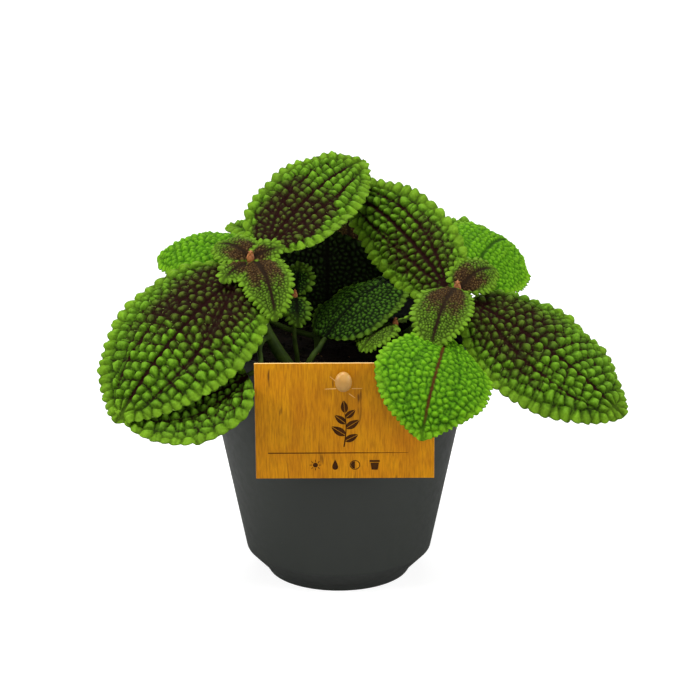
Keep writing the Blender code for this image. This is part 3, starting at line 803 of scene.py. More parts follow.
def make_card_material():
    """Printed wood: vertical grain in brown and yellow, dark marks, painted shade that darkens it toward
    the top and a pale core at the cut edges.
    """
    material, tree, shader = new_material("printed_wood_card", Specular_IOR_Level=0.15)
    place = add(tree, "TexCoord").outputs["Object"]
    apart = add(tree, "SeparateXYZ", None, Vector=place)
    boards = upright_grain(tree, place, *BOARDS)
    fibres = upright_grain(tree, place, *FIBRES)
    streaks = upright_grain(tree, place, *STREAKS)
    patches = noise(tree, place, PATCH_SCALE)
    base = blend(tree, stretch(tree, boards, *NOISE_MIDDLE), colour(*WOOD_BROWN), colour(*WOOD_YELLOW))
    patched = blend(tree, stretch(tree, patches, *PATCH_MASK), base, colour(*PATCH_BROWN))
    fibred = blend(tree, stretch(tree, fibres, *FIBRE_MASK), patched, colour(*FIBRE_BROWN))
    marked = blend(tree, stretch(tree, streaks, *STREAK_MASK), fibred, colour(*STREAK_BROWN))
    # Painted shade: the wood is brighter toward the bottom of the card and darker toward its top
    painted_shade_wood = brightened(tree, marked, stretch(tree, apart.outputs["Z"], *CARD_PAINTED_SHADE_HEIGHTS, *CARD_PAINTED_SHADE))
    facing = add(tree, "SeparateXYZ", None, Vector=add(tree, "NewGeometry").outputs["Normal"])
    sideways, upward = (maths(tree, "ABSOLUTE", facing.outputs[axis]) for axis in "XZ")
    edge = maths(tree, "MAXIMUM", sideways, upward)
    cored = blend(tree, stretch(tree, edge, *CUT_EDGE_MASK), painted_shade_wood, colour(*CARD_CORE))
    rough = stretch(tree, fibres, *NOISE_SPAN, *CARD_ROUGHNESS)
    ridged = bump(tree, fibres, distance=0.05 * MM, strength=0.4)
    fill(tree, shader, Base_Color=cored, Roughness=rough, Normal=ridged)
    return material


# Plain finishes: name, two screen colours, roughness, the grain's scale and depth, and other shader values
FINE_GRAIN = (1800.0, 0.05 * MM)
PLAIN_FINISHES = {
    "ink": ("brown_ink", (50, 26, 2), (70, 38, 3), 0.6, FINE_GRAIN, {"Specular_IOR_Level": 0.1}),
    "card_core": ("torn_card_core", (206, 156, 70), (226, 180, 100), 0.6, FINE_GRAIN, {}),
    "label_clip": (
        "satin_beige_peg", (164, 120, 54), (182, 136, 66), 0.42, FINE_GRAIN, {"Subsurface_Weight": 0.1}
    ),
    "stem": (
        "downy_green_stem", (34, 50, 8), (56, 76, 14), 0.7, (1200.0, 0.2 * MM), {"Specular_IOR_Level": 0.15}
    ),
    "bud": (
        "brown_bud_scale", (118, 64, 14), (150, 90, 28), 0.55, (1600.0, 0.15 * MM), {"Sheen_Weight": 0.05}
    ),
}
PLAIN_GLOSS_SPREAD = 0.06


def make_plain_material(grain, name, low, high, rough, grain_size, shader_values):
    """A material of one finish whose tint, gloss and surface vary a little."""
    material, tree, shader = new_material(name, **shader_values)
    scale, depth = grain_size
    fine = place_group(tree, grain, Scale=scale, Coarse_Share=0.4)
    base = blend(tree, stretch(tree, fine.outputs["Mask"], *NOISE_MIDDLE), colour(*low), colour(*high))
    ends = (rough - PLAIN_GLOSS_SPREAD, rough + PLAIN_GLOSS_SPREAD)
    uneven = stretch(tree, fine.outputs["Height"], *NOISE_SPAN, *ends)
    fill(tree, shader, Base_Color=base, Roughness=uneven, Normal=bump(tree, fine.outputs["Height"], depth))
    return material


def make_materials():
    grain = make_grain_group()
    return {
        **make_leaf_materials(),
        "pot": make_pot_material(grain),
        "soil": make_soil_material(grain),
        "label_card": make_card_material(),
        **{finish: make_plain_material(grain, *values) for finish, values in PLAIN_FINISHES.items()},
    }


MATERIALS = make_materials()


# Mesh helpers

def mesh_of(shape, name):
    """The mesh made of a bmesh, which ends there."""
    mesh = bpy.data.meshes.new(name)
    shape.to_mesh(mesh)
    shape.free()
    return mesh


def pairs(first, second):
    """Two rows of numbers as a list of pairs."""
    return np.stack([first, second], 1)


def distances(first, second):
    """How far each point of one list is from each point of the other."""
    return np.linalg.norm(first[:, None] - second[None], axis=2)


def new_piece(name, mesh, finish, replaced=()):
    """An object that rides on the part, with its material and the solids that it stands for."""
    piece = bpy.data.objects.new(name, mesh)
    bpy.context.scene.collection.objects.link(piece)
    mesh.materials.clear()
    mesh.materials.append(MATERIALS[finish])
    mesh.shade_smooth()
    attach(piece, "root")
    if replaced:
        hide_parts(*replaced)
    return piece


def mesh_from(name, points, faces):
    mesh = bpy.data.meshes.new(name)
    mesh.from_pydata(points.tolist(), [], faces)
    mesh.update()
    return mesh


def carry(mesh, values):
    """Give the mesh its per-point values for the materials."""
    for name, numbers in values.items():
        layer = mesh.attributes.new(name, "FLOAT", "POINT")
        layer.data.foreach_set("value", np.asarray(numbers, dtype=np.float32))


def applied(thing):
    """The mesh that the object's modifiers make of it; the object goes."""
    graph = bpy.context.evaluated_depsgraph_get()
    mesh = bpy.data.meshes.new_from_object(thing.evaluated_get(graph))
    bpy.data.objects.remove(thing, do_unlink=True)
    return mesh


def loose_object(name, mesh):
    thing = bpy.data.objects.new(name, mesh)
    bpy.context.scene.collection.objects.link(thing)
    return thing


# Blades

def half_width(blade, along):
    """Half the width of the blade at a share of its length."""
    base, tip = blade["outline"]
    widest = base / (base + tip)
    along = np.clip(along, 0, 1)
    shape = along**base * (1 - along) ** tip / (widest**base * (1 - widest) ** tip)
    narrow = BASE_HALF_WIDTH + (TIP_HALF_WIDTH - BASE_HALF_WIDTH) * along
    return np.maximum(shape * blade["width"] / 2, np.minimum(narrow, blade["width"] / WIDTH_TO_END))


def forward(along, across):
    """How far the side veins carry a point toward the tip, as a share of the length."""
    return SLANT * np.abs(across) * 4 * along * (1 - along) * (1 - SLANT_FADE * along)


def midrib(blade):
    """Points and the three directions (along, side, up) down the midrib."""
    share = np.linspace(0, 1, MIDRIB_STEPS)
    rise = np.radians(blade["rise"][0] + (blade["rise"][1] - blade["rise"][0]) * share)
    heading = np.radians(blade["heading"] + blade["bend"][0] * share)
    roll = np.radians(blade["roll"] + blade["bend"][1] * share)[:, None]
    along = np.stack([np.cos(rise) * np.cos(heading), np.cos(rise) * np.sin(heading), np.sin(rise)], 1)
    level = np.stack([-np.sin(heading), np.cos(heading), 0 * heading], 1)
    upright = np.cross(along, level)
    side = np.cos(roll) * level + np.sin(roll) * upright
    up = np.cos(roll) * upright - np.sin(roll) * level
    steps = (along[1:] + along[:-1]) / 2 * blade["length"] / (MIDRIB_STEPS - 1)
    points = blade["base"] + np.concatenate([np.zeros((1, 3)), np.cumsum(steps, 0)])
    return points, along, side, up


def edge_line(blade, rng):
    """Edge of the blade in its plane: shares, points, outward directions, length run and tooth crowns."""
    along = (1 - np.cos(np.pi * np.linspace(0, 1, OUTLINE_STEPS))) / 2
    line = pairs((along + forward(along, 1)) * blade["length"], half_width(blade, along))
    steps = np.diff(line, axis=0)
    run = np.concatenate([[0], np.cumsum(np.linalg.norm(steps, axis=1))])
    slope = np.gradient(line, axis=0)
    slope /= np.linalg.norm(slope, axis=1)[:, None] + TINY
    outward = pairs(-slope[:, 1], slope[:, 0])
    count = max(LEAST_TEETH, round(run[-1] / blade["tooth_pitch"]))
    crowns = (np.arange(count) + 0.5 + rng.uniform(-TOOTH_JITTER, TOOTH_JITTER, (2, count))) / count
    crowns = crowns * (1 + TOOTH_TAPER * (1 - crowns)) * run[-1]
    return {"along": along, "line": line, "outward": outward, "run": run, "crowns": crowns}


def edge_at(edge, what, places, measure):
    """Points or directions of the edge where its run or its share along has the places' values."""
    return pairs(*(np.interp(places, edge[measure], edge[what][:, axis]) for axis in (0, 1)))


def lateral_line(blade, along):
    """Distance of the strong side vein from the midrib."""
    return LATERAL_REACH * half_width(blade, along) * (1 - np.exp(-LATERAL_START * along))


def local_pitch(blade, along):
    """Size of the blisters at a share of the length: small at the base, full beyond the middle."""
    grown = smooth(*FULL_PITCH_FROM, along) - TIP_PITCH_LOSS * smooth(TIP_PITCH_FROM, 1, along)
    return blade["pitch"] * (BASE_PITCH + (1 - BASE_PITCH) * grown)


def row_starts(blade):
    """Where the rows of blisters leave the midrib."""
    starts = [-ROWS_BEFORE_BASE * blade["length"]]
    while starts[-1] < blade["length"] - LAST_ROW_GAP * blade["pitch"]:
        starts.append(starts[-1] + float(local_pitch(blade, starts[-1] / blade["length"])))
    return np.array(starts)


def tooth_seeds(blade, edge, crowns):
    """Middles of the blisters that fill the teeth of one side."""
    line = edge_at(edge, "line", crowns, "run")
    inset = edge_at(edge, "outward", crowns, "run") * EDGE_INSET * blade["tooth_pitch"]
    ring = line - inset
    return ring[ring[:, 1] > MIDRIB_CLEAR * blade["pitch"]]


def row_places(lateral, wide, size):
    """Shares across for the blisters of one row: up to the strong side vein, and beyond it."""
    near = max(1, round(lateral * wide / size))
    far = max(1, round((1 - lateral) * wide / size))
    places = [(index + 0.5) / near * lateral for index in range(near)]
    return places + [lateral + (index + 0.5) / far * (1 - lateral) for index in range(far)]


def row_seeds(blade, starts):
    """Middles of the blisters in rows that lean toward the tip between the veins."""
    length = blade["length"]
    seeds = []
    for start in starts:
        share = np.clip(start / length, *SEED_SPAN)
        wide = float(half_width(blade, share))
        lateral = float(lateral_line(blade, share)) / wide
        size = float(local_pitch(blade, start / length + PITCH_AHEAD))
        for across in row_places(lateral, wide, size):
            along = max(start / length, SEED_START)
            for _ in range(SEED_SETTLING):
                out = across * float(half_width(blade, along))
                lean = ROW_LEAN * out * (1 - ROW_LEAN_FADE * across)
                along = 0.5 * along + 0.5 * ((start + lean) / length - float(forward(along, across)))
            if 0 < along < 1:
                seeds.append(((along + float(forward(along, across))) * length, out))
    return np.array(seeds)


def blister_seeds(blade, edge, starts, rng):
    """Middles of the blisters in the plane of the blade: one in each tooth and rows between the veins."""
    pitch = blade["pitch"]
    rows = row_seeds(blade, starts)
    drift_from, drift_full = (share * pitch for share in DRIFT_FROM)
    sides = []
    for side, crowns in zip((-1, 1), edge["crowns"]):
        ring = tooth_seeds(blade, edge, crowns)
        apart = distances(rows, ring).min(axis=1)
        drift = np.sin(rows[:, ::-1] / (DRIFT_LENGTH * pitch) + rng.uniform(0, math.tau, 2))
        inner = rows + SEED_DRIFT * pitch * drift * smooth(drift_from, drift_full, rows[:, 1:])
        kept = np.concatenate([ring, inner[apart > EDGE_CLEAR * blade["tooth_pitch"]]])
        kept = kept + rng.normal(0, blade["jitter"] * pitch, kept.shape)
        clear = SEED_CLEAR * local_pitch(blade, kept[:, 0] / blade["length"])
        crowded = np.tril(distances(kept, kept) < clear[:, None], -1).any(axis=1)
        kept = kept[~crowded]
        kept[:, 1] *= side
        sides.append(kept)
    return np.concatenate(sides)


def blister_field(points, seeds, rng):
    """How high each point is on its blister, 0 in a groove and 1 on the crown, with its chance and size."""
    gaps = distances(seeds, seeds)
    gaps.sort(axis=1)
    reach = gaps[:, 1:4].mean(axis=1)
    chance = rng.random(len(seeds))
    rise, speck, size = (np.empty(len(points)) for _ in range(3))
    for first in range(0, len(points), POINTS_AT_ONCE):
        part = slice(first, first + POINTS_AT_ONCE)
        far = distances(points[part], seeds)
        nearest = far.argmin(axis=1)
        pair = np.partition(far, 1, axis=1)[:, :2]
        share = np.clip((pair[:, 1] - pair[:, 0]) / (BLISTER_SPREAD * reach[nearest]), 0, 1)
        dome = DOME_ROUND * np.sqrt(1 - (1 - share) ** 2) + DOME_CONE * share
        lean = (points[part] - seeds[nearest])[:, 0] / reach[nearest]
        rise[part] = dome * (1 + CROWN_LEAN * lean)
        speck[part] = chance[nearest]
        size[part] = reach[nearest]
    return rise, speck, size


def tooth_reach(blade, edge, along, across):
    """How far the edge stands out at a share of the length, and its outward direction."""
    run = np.interp(along, edge["along"], edge["run"])
    left = edge["run"][-1] - run
    counts = [np.interp(run, crowns, np.arange(len(crowns))) for crowns in edge["crowns"]]
    part = (np.where(across < 0, counts[0], counts[1]) + 0.5) % 1
    crown = np.sqrt(np.clip(1 - (2 * part**TOOTH_LEAN - 1) ** 2, 0, 1))
    fade = smooth(0, TOOTH_FADE, run) * (TIP_TEETH + (1 - TIP_TEETH) * smooth(0, TOOTH_FADE, left))
    return blade["tooth"] * (crown - TOOTH_LEVEL) * fade, edge_at(edge, "outward", along, "along")


def on_blade(blade, frames, along, across, flat, lift):
    """Points in space from points in the plane of the blade, raised above it."""
    points, ahead, side, up = frames
    length = blade["length"]
    place = np.clip(flat[:, 0] / length, 0, 1)
    beyond = flat[:, 0] - place * length
    share = np.linspace(0, 1, MIDRIB_STEPS)
    middle, onward, sideways, upward = (
        np.stack([np.interp(place, share, row[:, axis]) for axis in range(3)], 1)
        for row in (points, ahead, side, up)
    )
    wide = half_width(blade, along)
    angle = np.radians(np.where(flat[:, 1] > 0, blade["droop"][0], blade["droop"][1]))
    turn = angle * np.abs(flat[:, 1]) / wide
    out = (wide * np.sin(turn) / angle * np.sign(flat[:, 1]))[:, None]
    down = (wide * (1 - np.cos(turn)) / angle)[:, None]
    normal = upward * np.cos(turn)[:, None] + sideways * (np.sin(turn) * np.sign(flat[:, 1]))[:, None]
    return middle + onward * beyond[:, None] + sideways * out - upward * down + normal * lift[:, None]


def vein_masks(blade, along, flat, starts):
    """Strength of the midrib, the strong side veins and the small side veins at each point."""
    ahead, out = flat[:, 0], np.abs(flat[:, 1])
    middle = np.exp(-((out / MIDRIB_GROOVE) ** 2))
    aside = (out - lateral_line(blade, along)) / LATERAL_GROOVE
    lateral = np.exp(-(aside**2)) * smooth(*LATERAL_END, along)
    wide = half_width(blade, along)
    row = ahead - ROW_LEAN * out * (1 - ROW_LEAN_FADE * np.clip(out / wide, 0, 1))
    count = np.interp(row, starts, np.arange(len(starts)))
    pair = (count + 0.5) / 2
    off = np.abs(pair - np.round(pair)) * 2 * blade["pitch"]
    small = np.exp(-((off / SIDE_GROOVE) ** 2))
    return middle, lateral * blade["side_veins"], small * blade["side_veins"]


def blade_grid(blade, edge, rows, columns):
    """Shares along and across on a grid, spread evenly over the blade."""
    spread = 0.5 * edge["run"] / edge["run"][-1] + 0.5 * edge["along"]
    along = np.interp(np.linspace(0, 1, rows + 1), spread, edge["along"])
    across = np.linspace(-1, 1, columns + 1)
    grid_along, grid_across = np.meshgrid(along, across, indexing="ij")
    return grid_along.ravel(), grid_across.ravel()


def blade_plane(blade, edge, along, across):
    """Points in the plane of the blade, with the toothed edge."""
    wide = half_width(blade, along)
    reach, outward = tooth_reach(blade, edge, along, across)
    near_edge = np.abs(across) ** TOOTH_ROOT
    flat = pairs((along + forward(along, across)) * blade["length"], across * wide)
    flat[:, 0] += reach * outward[:, 0] * near_edge
    flat[:, 1] += reach * outward[:, 1] * near_edge * np.sign(across)
    return flat


def blade_values(blade, along, across, flat, rise, speck, veins):
    """Tint values of the upper side: maroon in the grooves of the middle, a bright rim, and painted shade
    over shaded blades.
    """
    middle, lateral, small = veins
    tooth = blade["tooth_pitch"]
    ahead = flat[:, 0] / blade["length"]
    side_gap = (1 - np.abs(across)) * half_width(blade, along)
    tip_gap = (1 - ahead) * TIP_GAP_SHARE * blade["length"]
    edge_gap = np.minimum(np.minimum(side_gap, tip_gap), flat[:, 0] + BASE_GAP_TEETH * tooth)
    wander = STAIN_WANDER * (speck - 0.5)
    centre = smooth(*STAIN_ACROSS, np.abs(across) + wander)
    centre = centre * (1 - STAIN_LOSS * smooth(*STAIN_ALONG, along + wander))
    side_vein = np.maximum(LATERAL_STAIN * lateral, SIDE_STAIN * small) * smooth(*VEIN_STAIN_END, ahead)
    stained_midrib = blade["midrib"] * middle * smooth(*MIDRIB_STAIN_END, ahead)
    stain = blade["stain"] * np.maximum(centre, side_vein)
    stain = np.clip(np.maximum(stain, stained_midrib), 0, 1)
    stain = stain * smooth(*(share * tooth for share in STAIN_TEETH), edge_gap)
    # Painted shade: on shaded blades the stain value is raised everywhere, so they take the dark stained
    # tints and lose their bright rim
    stain = np.maximum(stain, blade["shade"])
    rim = RIM_LIGHT * smooth(*(share * tooth for share in RIM_TEETH), edge_gap + wander * RIM_WANDER)
    rim = rim * (1 - blade["shade"]) * (RIM_IN_GROOVE + RIM_ON_CROWN * np.clip(rise, 0, 1))
    return {"rise": rise, "stain": stain, "speck": speck, "rim": rim}


def rim_faces(rows, columns, offset):
    """Faces between the edge of the fine upper grid and that of the half as fine lower one."""
    half_columns = columns // 2

    def upper(row, column):
        return row * (columns + 1) + column

    def lower(row, column):
        return offset + row * (half_columns + 1) + column

    loop = [(0, c) for c in range(columns)] + [(r, columns) for r in range(rows)]
    loop += [(rows, c) for c in range(columns, 0, -1)] + [(r, 0) for r in range(rows, 0, -1)]
    faces = []
    for start in range(0, len(loop), 2):
        first, middle, last = (loop[(start + step) % len(loop)] for step in range(3))
        low_first, low_last = (lower(row // 2, column // 2) for row, column in (first, last))
        faces.append((upper(*first), upper(*middle), low_first))
        faces.append((upper(*middle), low_last, low_first))
        faces.append((upper(*middle), upper(*last), low_last))
    return faces


def grid_faces(rows, columns, offset, flip):
    """Faces of a grid, counted row by row."""
    faces = []
    for row in range(rows):
        for column in range(columns):
            corner = offset + row * (columns + 1) + column
            face = (corner, corner + columns + 1, corner + columns + 2, corner + 1)
            faces.append(face[::-1] if flip else face)
    return faces


def blister_heights(blade, along, across, field, veins, seed):
    """Rise of the blisters between the veins, how far they stand off the blade, and its thickness."""
    rise, speck, size = field
    middle, lateral, small = veins
    rise = rise * (1 - MIDRIB_DEPTH * middle) * (1 - LATERAL_DEPTH * lateral) * (1 - SIDE_DEPTH * small)
    edge_gap = (1 - np.abs(across)) * half_width(blade, along)
    relief = blade["relief"] * (EDGE_RELIEF + (1 - EDGE_RELIEF) * smooth(0, EDGE_RELIEF_WIDTH, edge_gap))
    height = size / blade["pitch"] * (BLISTER_LEAST + BLISTER_CHANCE * speck) * rise - BLISTER_LEVEL
    wave = EDGE_WAVE * np.sin(along * WAVE_TURNS + seed + np.sign(across)) * across**4
    thick = BLADE_EDGE + (BLADE - BLADE_EDGE) * smooth(0, BLADE_THINNING, edge_gap)
    return rise, relief * height + wave, thick


def blade_mesh(name, blade, seed):
    """A closed blade: blistered upper side, softer lower side and a toothed edge."""
    rng = np.random.default_rng(seed)
    edge = edge_line(blade, rng)
    rows = 2 * round((edge["run"][-1] + blade["length"]) / 4 / blade["mesh"])
    columns = 2 * round(blade["width"] * GRID_ACROSS / blade["mesh"])
    starts = row_starts(blade)
    seeds = blister_seeds(blade, edge, starts, rng)
    frames = midrib(blade)
    along, across = blade_grid(blade, edge, rows, columns)
    flat = blade_plane(blade, edge, along, across)
    field = blister_field(flat, seeds, rng)
    veins = vein_masks(blade, along, flat, starts)
    rise, lift, thick = blister_heights(blade, along, across, field, veins, seed)
    values = blade_values(blade, along, across, flat, rise, field[1], veins)
    top = on_blade(blade, frames, along, across, flat, lift)
    lower = np.arange((rows + 1) * (columns + 1)).reshape(rows + 1, columns + 1)[::2, ::2].ravel()
    low_lift = UNDER_RELIEF * lift[lower] - thick[lower]
    under = on_blade(blade, frames, along[lower], across[lower], flat[lower], low_lift)
    faces = grid_faces(rows, columns, 0, False)
    faces += grid_faces(rows // 2, columns // 2, len(top), True)
    faces += rim_faces(rows, columns, len(top))
    mesh = mesh_from(name, np.concatenate([top, under]), faces)
    both = {label: np.concatenate([numbers, numbers[lower]]) for label, numbers in values.items()}
    both["under"] = np.concatenate([np.zeros(len(top)), np.ones(len(under))])
    carry(mesh, both)
    return mesh


def build_leaves():
    for index, (name, blade) in enumerate(LEAVES.items()):
        mesh = blade_mesh("blade_" + name, blade, index + 1)
        new_piece("blade_" + name, mesh, blade["finish"], ["leaf_" + name])


def joined(name, meshes):
    """One mesh out of several, each with its values."""
    shape = bmesh.new()
    for mesh in meshes:
        shape.from_mesh(mesh)
    return mesh_of(shape, name)


# Stems and buds

def tube(name, points, radii, straight=0):
    """A round bar bent through the points, as a mesh."""
    curve = bpy.data.curves.new(name, "CURVE")
    curve.dimensions = "3D"
    curve.bevel_depth = 1.0
    curve.bevel_resolution = 4
    curve.resolution_u = 10
    curve.use_fill_caps = True
    line = curve.splines.new("BEZIER")
    line.bezier_points.add(len(points) - 1)
    for index, knot in enumerate(line.bezier_points):
        knot.co = Vector(points[index])
        knot.radius = np.interp(index / (len(points) - 1), (0, 1), radii)
        knot.handle_left_type = "VECTOR" if index < straight else "AUTO"
        knot.handle_right_type = knot.handle_left_type
    return applied(loose_object(name, curve))


def along_path(points, share):
    """The point at a share of the length of a line through the points."""
    steps = [(b - a).length for a, b in zip(points, points[1:])]
    left = share * sum(steps)
    for start, end, step in zip(points, points[1:], steps):
        if left <= step:
            return start.lerp(end, left / step)
        left -= step
    return points[-1]


def petiole(name, start, blade, over=None):
    """A leaf stalk from the stem to the base of a blade, by way of a point if one is given."""
    _, along, _, up = midrib(blade)
    ahead, upward = Vector(along[0]), Vector(up[0])
    end = Vector(blade["base"]) - ahead * PETIOLE_GAP - upward * BLADE / 2
    lead = min(PETIOLE_LEAD, PETIOLE_LEAD_SHARE * (end - start).length)
    bend = end - ahead * lead
    middle = start.lerp(bend, 0.5) + Vector((0, 0, -PETIOLE_SAG)) * (bend - start).length
    if over:
        middle = Vector(over) * MM
    return tube(name, [start, middle, bend, end], (PETIOLE_RADIUS * PETIOLE_SWELL, PETIOLE_RADIUS))


def ball_mesh(name, centre, radii):
    shape = bmesh.new()
    bmesh.ops.create_uvsphere(shape, u_segments=KNOB_SIDES, v_segments=KNOB_RINGS, radius=1)
    shape.transform(Matrix.Translation(centre) @ Matrix.Diagonal((*radii, 1)))
    return mesh_of(shape, name)


def fused(name, meshes, voxel, smoothing=2):
    """One skin over overlapping closed meshes."""
    thing = loose_object(name, joined(name, meshes))
    skin = thing.modifiers.new("skin", "REMESH")
    skin.mode = "VOXEL"
    skin.voxel_size = voxel
    soften = thing.modifiers.new("soften", "SMOOTH")
    soften.iterations = smoothing
    return applied(thing)


def build_stem(name, stem):
    x, y = stem["path"][0]
    points = [Vector((x * MM, y * MM, STEM_FOOT)), Vector((x * MM, y * MM, STEM_STRAIGHT))]
    points += [Vector(point) * MM for point in stem["path"][1:]]
    thick, thin = (radius * MM for radius in stem["radius"])
    bars = [tube(name, points, (thick, thin), STEM_STRAIGHT_KNOTS)]
    for leaf_name, share in stem["petioles"].items():
        start = along_path(points[1:], share)
        bars.append(petiole(name, start, LEAVES[leaf_name], stem.get("over", {}).get(leaf_name)))
    new_piece("stalks_" + name, fused(name, bars, STEM_VOXEL), "stem", [name])
    if "tip" in stem:
        build_tip(name, stem["tip"], ())


def bud_scale(name, foot, heading, length, width):
    """A pointed scale that leans out and curls back over the bud."""
    share = np.linspace(0, 1, BUD_RINGS)
    lean = np.radians(BUD_LEAN + (BUD_CURL - BUD_LEAN) * share)
    out, up = np.sin(lean), np.cos(lean)
    step = length / (BUD_RINGS - 1)
    away = np.cumsum(out) * step
    high = np.cumsum(up) * step
    first, span = SCALE_SPAN
    wide = width / 2 * np.sin(np.pi * (first + span * share)) ** SCALE_FULLNESS * (1 - SCALE_TAPER * share)
    thick = SCALE_THICKNESS * wide
    turns = np.linspace(0, math.tau, BUD_SIDES, endpoint=False)
    level = away[:, None] + thick[:, None] * np.sin(turns) * up[:, None]
    height = high[:, None] - thick[:, None] * np.sin(turns) * out[:, None]
    sideways = wide[:, None] * np.cos(turns)
    ahead = np.array([math.cos(heading), math.sin(heading)])
    points = np.stack(
        [
            foot[0] + level * ahead[0] - sideways * ahead[1],
            foot[1] + level * ahead[1] + sideways * ahead[0],
            foot[2] + height,
        ],
        2,
    ).reshape(-1, 3)
    faces = []
    for ring in range(BUD_RINGS - 1):
        for side in range(BUD_SIDES):
            after = (side + 1) % BUD_SIDES
            low, top = ring * BUD_SIDES, (ring + 1) * BUD_SIDES
            faces.append((low + side, low + after, top + after, top + side))
    faces.append(tuple(range(BUD_SIDES))[::-1])
    faces.append(tuple(range(len(points) - BUD_SIDES, len(points))))
    return mesh_from(name, points, faces)


def build_tip(name, tip, replaced):
    """The young blades and the bud of a shoot."""
    centre, radii = (np.array(numbers) * MM for numbers in tip["bud"])
    foot = centre - np.array((0, 0, radii[2]))
    long, wide = SCALE_LENGTH * radii[2], SCALE_WIDTH * radii[0]
    scales = [bud_scale(name + "_scale", foot, turn, long, wide) for turn in BUD_TURNS]
    new_piece("bud_" + name, joined(name + "_bud", scales), "bud")
    first_seed = TIP_SEED + len(name)
    blades = [
        blade_mesh(name, blade, first_seed + TIP_SEED_STEP * index)
        for index, blade in enumerate(tip["blades"])
    ]
    new_piece("young_" + name, joined(name, blades), tip["blades"][0]["finish"], replaced)


def build_shoots():
    for name, stem in STEMS.items():
        build_stem(name, stem)
    for name, tip in TIPS.items():
        build_tip(name, tip, [name])


# Pot and soil

def spun(name, profile, sides):
    """A body of revolution from (radius, height) points."""
    mesh = bpy.data.meshes.new(name)
    points = [(radius, 0, height) for radius, height in profile]
    mesh.from_pydata(points, [(i, i + 1) for i in range(len(points) - 1)], [])
    thing = loose_object(name, mesh)
    screw = thing.modifiers.new("spin", "SCREW")
    screw.steps = sides
    screw.render_steps = sides
    screw.use_merge_vertices = True
    screw.merge_threshold = 0.01 * MM
    screw.use_smooth_shade = True
    return thing


def cylinder(name, radius, start, end, sides=32):
    start, end = Vector(start), Vector(end)
    shape = bmesh.new()
    bmesh.ops.create_cone(
        shape, cap_ends=True, segments=sides, radius1=radius, radius2=radius, depth=(end - start).length
    )
    turn = Vector((0, 0, 1)).rotation_difference(end - start).to_matrix().to_4x4()
    shape.transform(Matrix.Translation((start + end) / 2) @ turn)
    return mesh_of(shape, name)


def drilled(thing, cutters):
    """The object's mesh with the cutter meshes taken away."""
    cutter = loose_object("cutter", joined("cutter", cutters))
    drill = thing.modifiers.new("holes", "BOOLEAN")
    drill.operation = "DIFFERENCE"
    drill.object = cutter
    drill.solver = "EXACT"
    drill.use_self = True
    mesh = applied(thing)
    bpy.data.objects.remove(cutter, do_unlink=True)
    return mesh


def rounded(profile, radius, steps=4):
    """The profile with each inner corner replaced by a short curve."""
    points = [Vector(point) for point in profile]
    line = [points[0]]
    for before, corner, after in zip(points, points[1:], points[2:]):
        reach = min(radius, *(CORNER_SHARE * (side - corner).length for side in (before, after)))
        start = corner + (before - corner).normalized() * reach
        end = corner + (after - corner).normalized() * reach
        for step in range(steps + 1):
            share = step / steps
            line.append(start.lerp(corner, share).lerp(corner.lerp(end, share), share))
    return line + [points[-1]]


def build_pot():
    floor = BASE_RAISE + WALL
    ring = FOOT_RADIUS - FOOT_RING_WIDTH
    rim_inside = RIM_RADIUS - WALL
    profile = [
        (0, floor),
        (FLOOR_RADIUS, floor),
        (WALL_FOOT_RADIUS - WALL, INNER_FOOT_HEIGHT),
        (WALL_TOP_RADIUS - WALL, RIM_BAND_FOOT),
        (rim_inside, RIM_LEDGE_TOP),
        (rim_inside, POT_HEIGHT),
        (RIM_RADIUS, POT_HEIGHT),
        (RIM_RADIUS, RIM_BAND_FOOT),
        (WALL_TOP_RADIUS, RIM_BAND_FOOT - BAND_SLOPE),
        (WALL_FOOT_RADIUS, WALL_FOOT_HEIGHT),
        (CHAMFER_RADIUS, CHAMFER_HEIGHT),
        (FOOT_RADIUS, 0),
        (ring, 0),
        (ring - RING_SLOPE, BASE_RAISE),
        (CENTRE_FOOT_RADIUS + RING_SLOPE, BASE_RAISE),
        (CENTRE_FOOT_RADIUS, 0),
        (0, 0),
    ]
    pot = spun("pot_shell", rounded(profile, POT_EDGE_ROUND), POT_SIDES)
    holes = []
    for index in range(DRAIN_HOLES):
        turn = math.tau * (index + 0.5) / DRAIN_HOLES
        x = DRAIN_HOLE_CIRCLE * math.cos(turn)
        y = DRAIN_HOLE_CIRCLE * math.sin(turn)
        ends = ((x, y, -DRILL_OVERRUN), (x, y, floor + DRILL_OVERRUN))
        holes.append(cylinder("drain", DRAIN_HOLE_RADIUS, *ends))
    piece = new_piece("pot_shell", drilled(pot, holes), "pot", ["pot"])
    piece.data.set_sharp_from_angle(angle=POT_SHARP_ANGLE)


def lump(x, y):
    """Height of the uneven soil above its mean level: waves of a few mm, with given lengths."""
    a, b = x / MM, y / MM
    rolling = np.sin(a / 7.3 + 1.1) * np.cos(b / 6.1 - 0.4)
    crumbs = np.sin(a / 3.1 + b / 4.7) * np.sin(b / 2.9 - a / 5.3 + 2)
    fine = np.sin(a * 1.9 + 1.3 * np.sin(b * 1.7)) * np.sin(b * 2.3 + 1.1 * np.sin(a * 1.3))
    return SOIL_LUMP * (0.6 * rolling + 0.4 * crumbs) + SOIL_RIPPLE * fine


